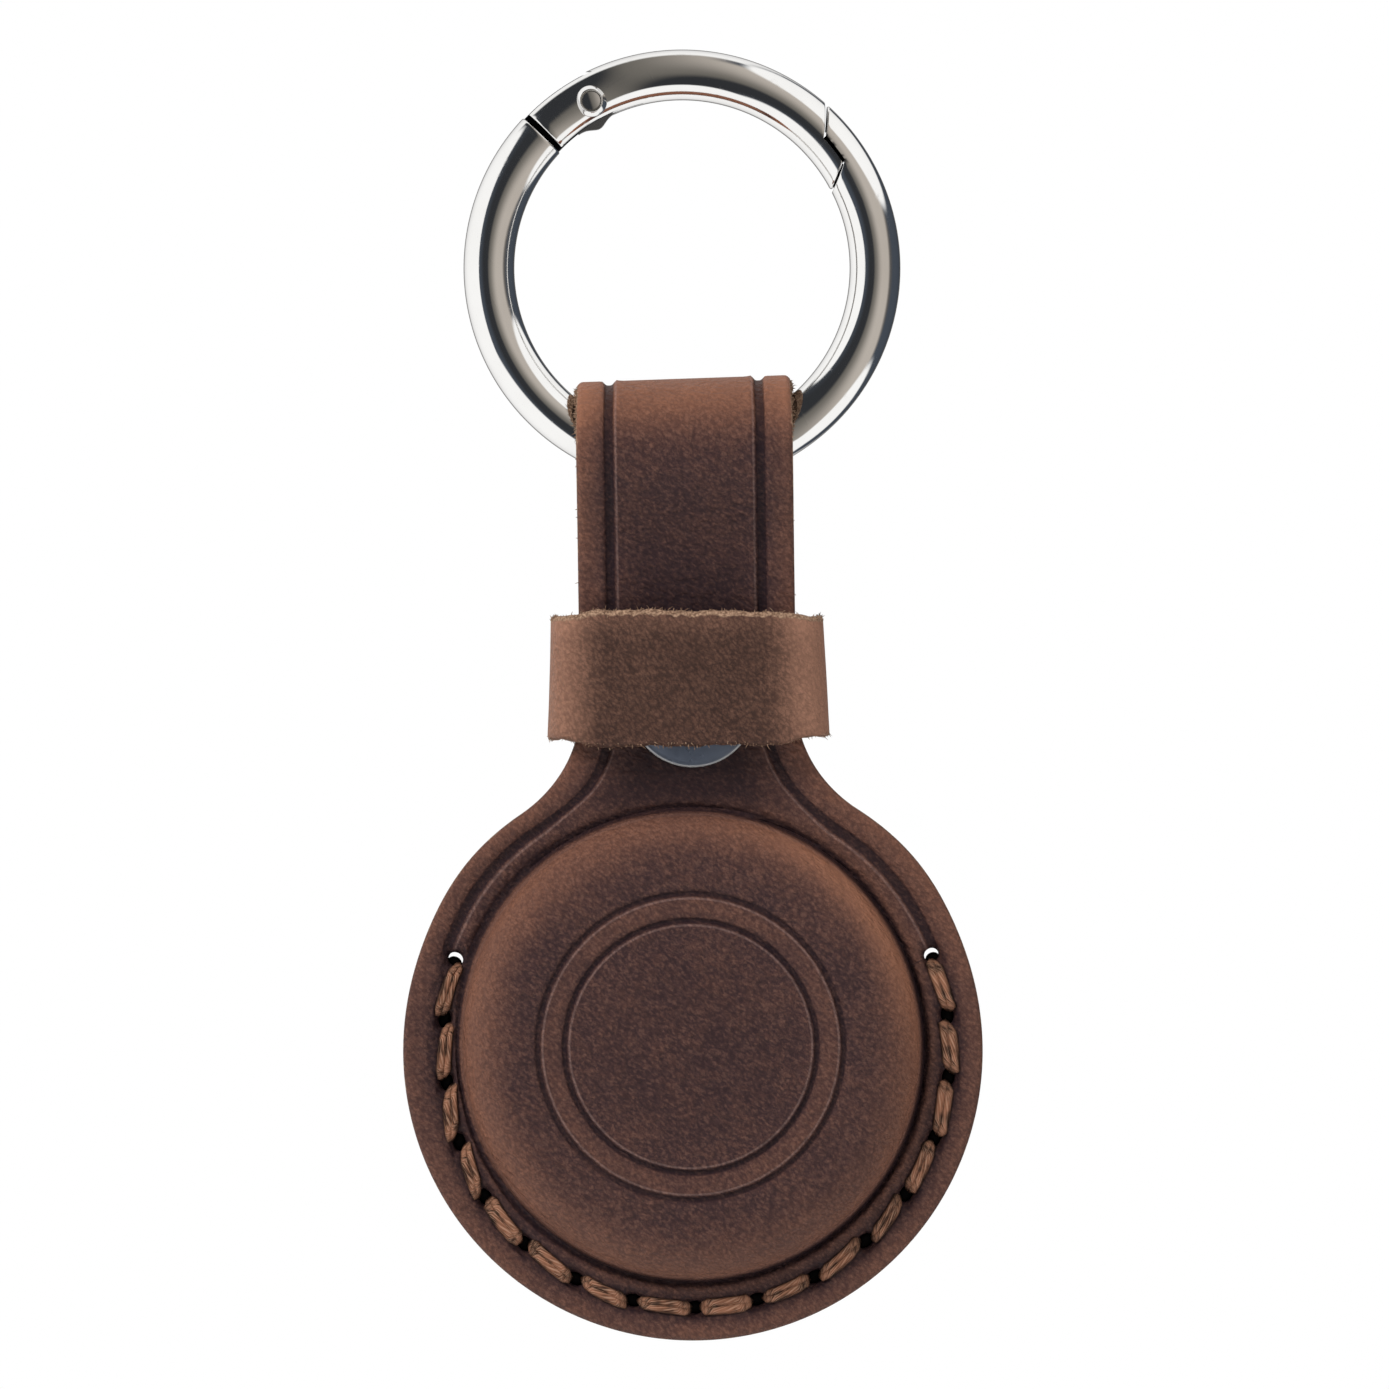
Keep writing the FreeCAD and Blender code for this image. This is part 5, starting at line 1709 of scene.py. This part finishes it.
    def body_wire(self, finishes: Finishes) -> None:
        """Fixed part: the wire from the shoulder round to the lip, with the hinge tongue.

        Args:
            finishes: the materials by slot.
        """
        skin = Skin("ring_wire")
        step = math.acos(self.lip_gap / self.wire)
        long_half = np.linspace(-step, step, 33)
        short_half = np.linspace(step, TURN - step, 33)
        around = np.concatenate((long_half, short_half[1:]))
        shoulder = self.heel + self.heel_gap
        neck = np.full_like(around, shoulder + 4.0)
        ends = (self.nose_lip - self.nose_gap + 360.0, self.nose_end - self.nose_gap + 360.0)
        self.stepped_nose(skin, long_half, short_half, neck, ends, self.lip_gap, 0.7 * self.nose_gap)
        rim = self.run(around, neck, np.full_like(around, shoulder), 6, np.full_like(around, self.soft))
        skin.add(self.at(*rim))
        reach, half = self.tongue_half
        cos, sin = np.cos(around), np.sin(around)
        scale = np.minimum(reach / np.maximum(np.abs(cos), 1e-9), half / np.maximum(np.abs(sin), 1e-9))
        scale = np.minimum(scale, 0.96 * self.wire)
        lean, depth = scale * cos, -scale * sin
        self.close(skin, rim, lean, depth, shoulder)
        tip = self.past_pin(lean, reach)
        self.dark(skin, self.at(lean, depth, ruled(np.full_like(tip, shoulder), tip, 12)))
        self.dark(skin, self.at(lean, ruled(depth, -depth, 4), tip))
        skin.piece(finishes.slots, "ring", "plated_ring", "ring_body", crease=38.0)

    def gate_wire(self, finishes: Finishes) -> None:
        """Gate arc: a forked heel over the tongue, and a nose whose inner half reaches under the lip.

        Args:
            finishes: the materials by slot.
        """
        skin = Skin("gate_wire")
        split = math.asin(self.fork_half / self.wire)
        step = math.acos(-self.lip_gap / self.wire)
        front = np.concatenate((np.linspace(split, step, 13), np.linspace(step, math.pi - split, 13)[1:]))
        inside = np.linspace(math.pi - split, math.pi + split, 9)
        back = TURN - front[::-1]
        outside = np.linspace(-split, split, 9)
        long_half = np.concatenate((front[12:], inside[1:], back[1:13]))
        short_half = np.concatenate((back[12:], outside[1:] + TURN, front[1:13] + TURN))
        around = np.concatenate((long_half, short_half[1:]))
        start = self.past_pin(self.wire * np.cos(around), self.fork_radius)
        self.stepped_nose(skin, long_half, short_half, start, (self.nose_end, self.nose_lip), -self.lip_gap)
        heel = self.heel - self.heel_gap
        for cheek in (front, back):
            soft = self.soft * np.sqrt(np.abs(np.sin(np.linspace(0.0, math.pi, len(cheek)))))
            fork = self.past_pin(self.wire * np.cos(cheek), self.fork_radius)
            rim = self.run(cheek, fork, np.full_like(fork, heel), 16, soft)
            skin.add(self.at(*rim))
            lean, depth = self.wire * np.cos(cheek), -self.wire * np.sin(cheek[0])
            wall = np.linspace(lean[0], lean[-1], len(cheek))
            self.close(skin, rim, wall, np.full_like(wall, depth), heel)
            share = (rim[2][:, :1] - rim[2][0, 0]) / (heel - rim[2][0, 0])
            run = self.past_pin(wall, self.fork_radius)
            skin.add(self.at(wall, np.full_like(wall, depth), run + share * (heel - run)))
        lean_out, lean_in = self.wire * np.cos(outside), self.wire * np.cos(inside[::-1])
        floor = ruled(lean_out, lean_in, 24)
        depth = np.broadcast_to(-self.wire * np.sin(outside), floor.shape)
        skin.add(self.at(floor, depth, self.past_pin(floor, self.fork_radius)))
        skin.piece(finishes.slots, "gate", "plated_ring", "ring_gate", crease=38.0)

    def rivet(self, finishes: Finishes) -> None:
        """Hinge rivet: a shank with a shallow dome on each face, a groove round it and a coned rim.

        Args:
            finishes: the materials by slot.
        """
        out = np.linspace(0.0, 0.56, 7)
        dome = np.stack((out, -0.04 - 0.06 * (out / 0.56) ** 2), axis=-1)
        groove = np.array([(0.58, -0.17), (0.61, -0.18), (0.63, -0.08)])
        swell = np.linspace(0.0, math.radians(56.0), 6)
        crest = np.stack((0.68 + 0.07 * np.sin(swell), -0.07 + 0.07 * np.cos(swell)), axis=-1)
        cone = np.array([(0.84, -0.18), (0.94, -0.34), (0.985, -0.42), (1.0, -0.5)])
        head = np.concatenate((dome, groove, crest, cone)) * self.rivet_head
        head[:, 1] = self.rivet_top + head[:, 1]
        shank = np.array([(self.rivet_head, 1.46 * MM), (0.75 * MM, 1.46 * MM)])
        half = np.concatenate((head, shank))
        skin = Skin("hinge_rivet")
        centre = self.pin[0] + self.rivet_place[0], self.pin[1] + self.rivet_place[1]
        skin.add(turned(np.concatenate((half, half[::-1] * (1.0, -1.0))), centre, 48))
        skin.piece(finishes.slots, "ring", "plated_ring", "gate_pin", crease=50.0)

    def leaf(self, finishes: Finishes) -> None:
        """Gate spring: a thin leaf along the inside of the gate, thickened inwards by the pin.

        Args:
            finishes: the materials by slot.
        """
        angle = np.linspace(*self.leaf_span, 60)[:, None]
        swell, place, width = self.leaf_swell
        under = self.leaf_lean[1] - swell * bell(angle, place, width)
        over = np.full_like(angle, self.leaf_lean[0])
        lean = np.concatenate((over, over, under, under, over), axis=-1)
        depth = self.leaf_half * np.array((-1, 1, 1, -1, -1))
        skin = Skin("gate_leaf")
        skin.add(self.at(lean, depth, angle))
        for end in (0, -1):
            corners = self.at(lean[end], depth, angle[end])
            skin.add(np.stack((corners[[0, 1]], corners[[3, 2]])))
        skin.piece(finishes.slots, "gate", "spring_steel", "gate_spring", crease=40.0)

    def build(self, finishes: Finishes) -> None:
        """Makes the fixed wire, the gate, the rivet and the leaf.

        Args:
            finishes: the materials by slot.
        """
        self.body_wire(finishes)
        self.gate_wire(finishes)
        self.rivet(finishes)
        self.leaf(finishes)


CAP_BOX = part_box("snap_cap")
POST_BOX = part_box("snap_post")


@dataclass
class Snap:
    """Visible halves of the press snap: the front cap and the flat post behind."""

    centre: tuple[float, float] = (0.35 * MM, 0.5 * (CAP_BOX[0].z + CAP_BOX[1].z))
    cap_radius: float = CAP_BOX[1].x
    cap_top: float = CAP_BOX[0].y
    cap_seat: float = -2.8 * MM
    post_radius: float = POST_BOX[1].x
    post_top: float = POST_BOX[1].y
    post_seat: float = 2.8 * MM
    shank: float = 1.5 * MM
    rim: float = 0.5 * MM
    dome_steps: int = 24
    rim_steps: int = 14

    def button(self, radius: float, top: float, seat: float, root: float) -> np.ndarray:
        """Profile of a domed button: a shallow dome, a rolled rim, a flat underside and a shank.

        The dome falls as the 2.4th power of the radius down to the rim, which is a half circle.

        Args:
            radius: the rim's radius.
            top: Y of the dome's middle.
            seat: Y of the underside.
            root: Y of the shank's end.

        Returns:
            Radius and Y of each point.
        """
        direction = math.copysign(1.0, top - seat)
        roll = np.linspace(0.0, math.pi, self.rim_steps)
        rim_half = 0.5 * self.rim
        rise = abs(top - seat) - self.rim
        edge = radius - rim_half
        out = np.linspace(0.0, edge, self.dome_steps)
        dome = np.stack((out, top - direction * rise * (out / edge) ** 2.4), axis=-1)
        rim = np.stack((edge + rim_half * np.sin(roll),
                        seat + direction * rim_half * (1.0 + np.cos(roll))), axis=-1)
        foot = np.array([(self.shank, seat), (self.shank, root), (0.0, root)])
        return np.concatenate((dome, rim[1:], foot))

    def build(self, finishes: Finishes) -> None:
        """Turns the cap and the post.

        Args:
            finishes: the materials by slot.
        """
        for name, node, sizes in (
            ("snap_button", "snap_cap", (self.cap_radius, self.cap_top, self.cap_seat, CAP_BOX[1].y)),
            ("snap_rear", "snap_post", (self.post_radius, self.post_top, self.post_seat, POST_BOX[0].y)),
        ):
            skin = Skin(name)
            profile = self.button(*sizes)
            # The top of the rim is painted bright: worn plating, and a painted highlight.
            upper = np.arange(len(profile)) < self.dome_steps + self.rim_steps // 2
            rubbed_rim_highlight = bell(profile[:, 0], sizes[0] - 0.05 * MM, 0.1 * MM) * upper
            points = turned(profile, self.centre, 96)
            skin.add(points, masks={Mask.RAW: np.broadcast_to(rubbed_rim_highlight[:, None], points.shape[:2])})
            skin.piece(finishes.slots, "holder", "snap_gunmetal", node, crease=50.0)


@dataclass
class Fray:
    """Loose fibres on the raw edges: short bent tapered hairs, so many to an edge and up to a length."""

    hide: Hide
    keeper: Keeper
    thickness: float = 0.042 * MM
    top_hairs: tuple[int, float] = (560, 0.34 * MM)
    foot_hairs: tuple[int, float] = (380, 0.28 * MM)
    side_hairs: tuple[int, float] = (300, 0.3 * MM)
    seed: int = 23

    def hairs(self, skin: Skin, roots: np.ndarray, lean: np.ndarray, length: np.ndarray) -> None:
        """Adds a hair at each root.

        A hair's axis leaves the root along its lean and bends as the square of the way along. Its
        radius is 0 at both ends, and its section is a triangle.

        Args:
            skin: the mesh that they go into.
            roots: root points.
            lean: directions that they leave in.
            length: their lengths.
        """
        draw = np.random.default_rng(self.seed + len(roots))
        along = np.array((-0.25, 0.0, 0.35, 0.7, 1.0))
        girth = self.thickness * np.array((0.0, 1.0, 0.9, 0.6, 0.0))
        lean = lean / np.linalg.norm(lean, axis=-1, keepdims=True)
        bend = draw.normal(0.0, 0.45, roots.shape)
        side = np.cross(lean, (0.31, 0.52, 0.79))
        side /= np.linalg.norm(side, axis=-1, keepdims=True)
        other = np.cross(lean, side)
        corner = np.linspace(0.0, TURN, 4)
        ring = side[:, None] * np.cos(corner)[:, None] + other[:, None] * np.sin(corner)[:, None]
        axis = lean[:, None] * along[:, None] + bend[:, None] * along[:, None] ** 2
        axis = roots[:, None] + axis * length[:, None, None]
        points = axis[:, :, None] + girth[:, None, None] * ring[:, None]
        for hair in points:
            skin.add(hair, masks={Mask.RAW: np.ones(hair.shape[:2])})

    def keeper_hairs(self) -> Skin:
        """Hairs along the keeper's top and bottom edges, thicker along the top, none leaning inwards.

        Returns:
            Their mesh, still open.
        """
        skin, draw = Skin("keeper_fray"), np.random.default_rng(self.seed)
        points = self.keeper.points()[0]
        outward = self.keeper.path()[2]
        out, up = self.keeper.section()
        for level, (count, longest) in ((1.0, self.top_hairs), (0.0, self.foot_hairs)):
            columns = np.flatnonzero((np.abs(up - level) < 0.03) & (out > 0.45 * self.keeper.thickness))
            row = draw.integers(0, len(points), count)
            column = draw.choice(columns, count)
            lean = draw.normal(0.0, 0.55, (count, 3))
            inward = np.minimum((lean[:, :2] * outward[row]).sum(axis=-1, keepdims=True), 0.0)
            lean[:, :2] -= inward * outward[row]
            lean[:, 2] += 1.0 if level else -1.0
            length = longest * draw.uniform(0.25, 1.0, count) ** 1.5
            self.hairs(skin, points[row, column], lean, length)
        return skin

    def hide_hairs(self) -> Skin:
        """Hairs along the strap's raw sides, most of them near the fold.

        Returns:
            Their mesh, still open.
        """
        skin, draw = Skin("hide_fray"), np.random.default_rng(self.seed + 1)
        strap = self.hide.strap(Skin("strap_only"), True)
        inner = self.hide.strap(Skin("strap_inside"), False)
        count, longest = self.side_hairs
        for column, out in ((0, -1.0), (-1, 1.0)):
            high = smooth_step((strap[:, column, 2] - self.hide.disc_z - self.hide.loop_foot) / (4.0 * MM))
            row = draw.choice(len(strap), count, p=(0.03 + high) / (0.03 + high).sum())
            share = draw.uniform(0.05, 0.95, (count, 1))
            roots = strap[row, column] * (1.0 - share) + inner[row, column] * share
            lean = draw.normal(0.0, 0.8, (count, 3))
            lean[:, 0] = out * (0.5 + np.abs(lean[:, 0]))
            self.hairs(skin, roots, lean, longest * draw.uniform(0.3, 1.0, count) ** 1.3)
        return skin

    def build(self, finishes: Finishes) -> None:
        """Makes the hairs of both leathers."""
        self.keeper_hairs().piece(finishes.slots, "keeper", "keeper_leather")
        self.hide_hairs().piece(finishes.slots, "holder", "oiled_leather")


@dataclass
class Studio:
    """Camera, pale floor and soft light of the photograph."""

    photo_side: float = 1389.0
    photo_scale: float = 12.7
    ring_pixel: tuple[float, float] = (682.0, 268.0)
    lean: float = math.radians(0.8)
    camera_distance: float = 0.9
    sensor: float = 36.0
    dark_card: Colour = (0.03, 0.032, 0.036)
    navy_card: Colour = (0.06, 0.072, 0.092)
    olive_card: Colour = (0.15, 0.14, 0.125)
    grey_card: Colour = (0.50, 0.455, 0.41)
    floor_drop: float = 0.135
    floor_radius: float = 0.6
    floor_fade: tuple[float, float] = (0.12, 0.5)
    floor_glow: float = 0.42
    key_power: float = 5.0
    fill_power: float = 1.0
    ambient: float = 0.4
    lamp_aim: tuple[float, float, float] = (0.0, 0.0, -0.035)

    def camera(self) -> None:
        """Long lens in front, framed as the photograph is."""
        view = bpy.data.cameras.new("camera")
        shown = self.photo_side / self.photo_scale * MM
        view.sensor_width = self.sensor
        view.lens = self.sensor * self.camera_distance / shown
        holder = bpy.data.objects.new("camera", view)
        middle = 0.5 * self.photo_side
        x = (middle - self.ring_pixel[0]) / self.photo_scale * MM
        z = (self.ring_pixel[1] - middle) / self.photo_scale * MM
        cos, sin = math.cos(self.lean), math.sin(self.lean)
        holder.location = (x * cos + z * sin, -self.camera_distance, z * cos - x * sin)
        holder.rotation_euler = (0.5 * math.pi, self.lean, 0.0)
        view.clip_end = 20.0
        bpy.context.scene.collection.objects.link(holder)
        bpy.context.scene.camera = holder

    def world(self) -> None:
        """White for the camera, grey for diffuse light, and white with a cross of dim cards for gloss."""
        world = bpy.data.worlds.new("surround")
        bpy.context.scene.world = world
        world.use_nodes = True
        shader = Shader(world.node_tree)
        surface = world.node_tree.nodes["Background"]
        parts = shader.node("ShaderNodeSeparateXYZ")
        shader.join(shader.node("ShaderNodeTexCoord").outputs["Generated"], parts.inputs[0])
        x, y, z = parts.outputs
        skew = shader.math("MULTIPLY", x, z)
        right = shader.ramp(x, -0.05, 0.05)
        near = shader.ramp(skew, 0.24, 0.18)
        wide = shader.math("MULTIPLY", shader.ramp(skew, 0.32, 0.26), shader.ramp(skew, -0.42, -0.36))
        dim = shader.mix(right, near, wide)
        ahead = shader.math("MAXIMUM", shader.ramp(y, 0.3, 0.1), shader.ramp(x, 0.25, 0.4))
        for share in (shader.ramp(x, -0.74, -0.70), shader.ramp(z, -0.78, -0.72), ahead):
            dim = shader.math("MULTIPLY", dim, share)
        rise = shader.math("MULTIPLY_ADD", z, 0.3, x)
        grey = shader.mix(shader.ramp(rise, 0.0, 0.6), self.olive_card, self.grey_card)
        dark = shader.mix(shader.ramp(rise, -0.35, -0.7), self.dark_card, self.navy_card)
        card = shader.mix(shader.ramp(rise, -0.10, 0.05), dark, grey)
        card = shader.mix(shader.math("MULTIPLY", shader.ramp(x, 0.88, 0.97), 0.85), card, self.dark_card)
        back = shader.math("MULTIPLY", shader.ramp(y, -0.3, 0.0), shader.ramp(x, 0.1, 0.3))
        card = shader.mix(back, card, self.navy_card)
        bands = shader.mix(dim, (1.0, 1.0, 1.0), card)
        bands = shader.mix(shader.math("MULTIPLY", shader.ramp(y, 0.78, 0.95), 0.8), bands, self.olive_card)
        rays = shader.node("ShaderNodeLightPath").outputs
        seen = shader.math("MAXIMUM", rays["Is Camera Ray"], rays["Is Transmission Ray"])
        glossy = shader.mix(rays["Is Glossy Ray"], (self.ambient,) * 3, bands)
        shader.join(shader.mix(seen, glossy, (1.0, 1.0, 1.0)), surface.inputs["Color"])

    def floor(self) -> None:
        """Pale round floor well below the hanging holder, outside the camera's frame.

        For the camera it is lifted towards white and thins out with the distance from its middle. From
        below it is clear.
        """
        ring = np.linspace(0.0, TURN, 65)[None, :]
        reach = np.array((0.0, 0.3, 1.0))[:, None] * self.floor_radius
        skin = Skin("floor")
        skin.add(stacked(reach * np.cos(ring), reach * np.sin(ring), -self.floor_drop))
        mesh = skin.mesh()
        if mesh.polygons[0].normal.z < 0.0:
            mesh.flip_normals()
        shown = bpy.data.objects.new("floor", mesh)
        bpy.context.scene.collection.objects.link(shown)
        shader, material, surface = Finish("floor_paper", 0.9, 0.1).start()
        tooth = shader.noise(shader.place(), 600.0, 2.0)
        shader.join(shader.mix(tooth, (0.9, 0.9, 0.9), (0.94, 0.94, 0.94)), surface.inputs["Base Color"])
        seen = shader.node("ShaderNodeLightPath").outputs["Is Camera Ray"]
        away = shader.node("ShaderNodeVectorMath", operation="LENGTH")
        shader.join(shader.place(), away.inputs[0])
        thin = shader.math("MULTIPLY", seen, shader.ramp(away.outputs["Value"], *self.floor_fade))
        below = shader.node("ShaderNodeNewGeometry").outputs["Backfacing"]
        clear = shader.math("MAXIMUM", thin, below)
        shader.join(shader.math("SUBTRACT", 1.0, clear), surface.inputs["Alpha"])
        surface.inputs["Emission Color"].default_value = (1.0, 1.0, 1.0, 1.0)
        shader.join(shader.math("MULTIPLY", seen, self.floor_glow), surface.inputs["Emission Strength"])
        shown.data.materials.append(material)
        shown.visible_glossy = False

    def lamp(self, name: str, place: tuple[float, float, float], size: float, power: float) -> None:
        """Soft square lamp that faces the middle of the holder.

        Args:
            name: its name.
            place: where it hangs.
            size: its side.
            power: its watts.
        """
        light = bpy.data.lights.new(name, "AREA")
        light.size = size
        light.energy = power
        holder = bpy.data.objects.new(name, light)
        holder.location = place
        aim = np.array(self.lamp_aim) - np.array(place)
        holder.rotation_mode = "QUATERNION"
        holder.rotation_quaternion = Vector(aim).to_track_quat("-Z", "Y")
        holder.visible_glossy = False
        bpy.context.scene.collection.objects.link(holder)

    def build(self) -> None:
        """Sets up camera, surround, floor and lamps."""
        self.camera()
        self.world()
        self.floor()
        self.lamp("key", (-0.42, -0.42, 0.42), 0.3, self.key_power)
        self.lamp("fill", (0.5, -0.45, 0.05), 0.4, self.fill_power)
        self.lamp("back", (0.1, 0.6, 0.35), 0.4, self.fill_power)
        bpy.context.scene.view_settings.view_transform = "Standard"


def main() -> None:
    """Builds the finishes, every sub-assembly and the studio, and notes the sizes."""
    logging.basicConfig(level=logging.INFO, format="%(name)s %(message)s")
    finishes = Finishes()
    finishes.mix_all()
    finishes.dress_nodes()
    hide, keeper = Hide(), Keeper()
    for part in (hide, Seam(hide), keeper, GateRing(), Snap(), Fray(hide, keeper)):
        part.build(finishes)
    Studio().build()


if __name__ == "__main__":
    main()
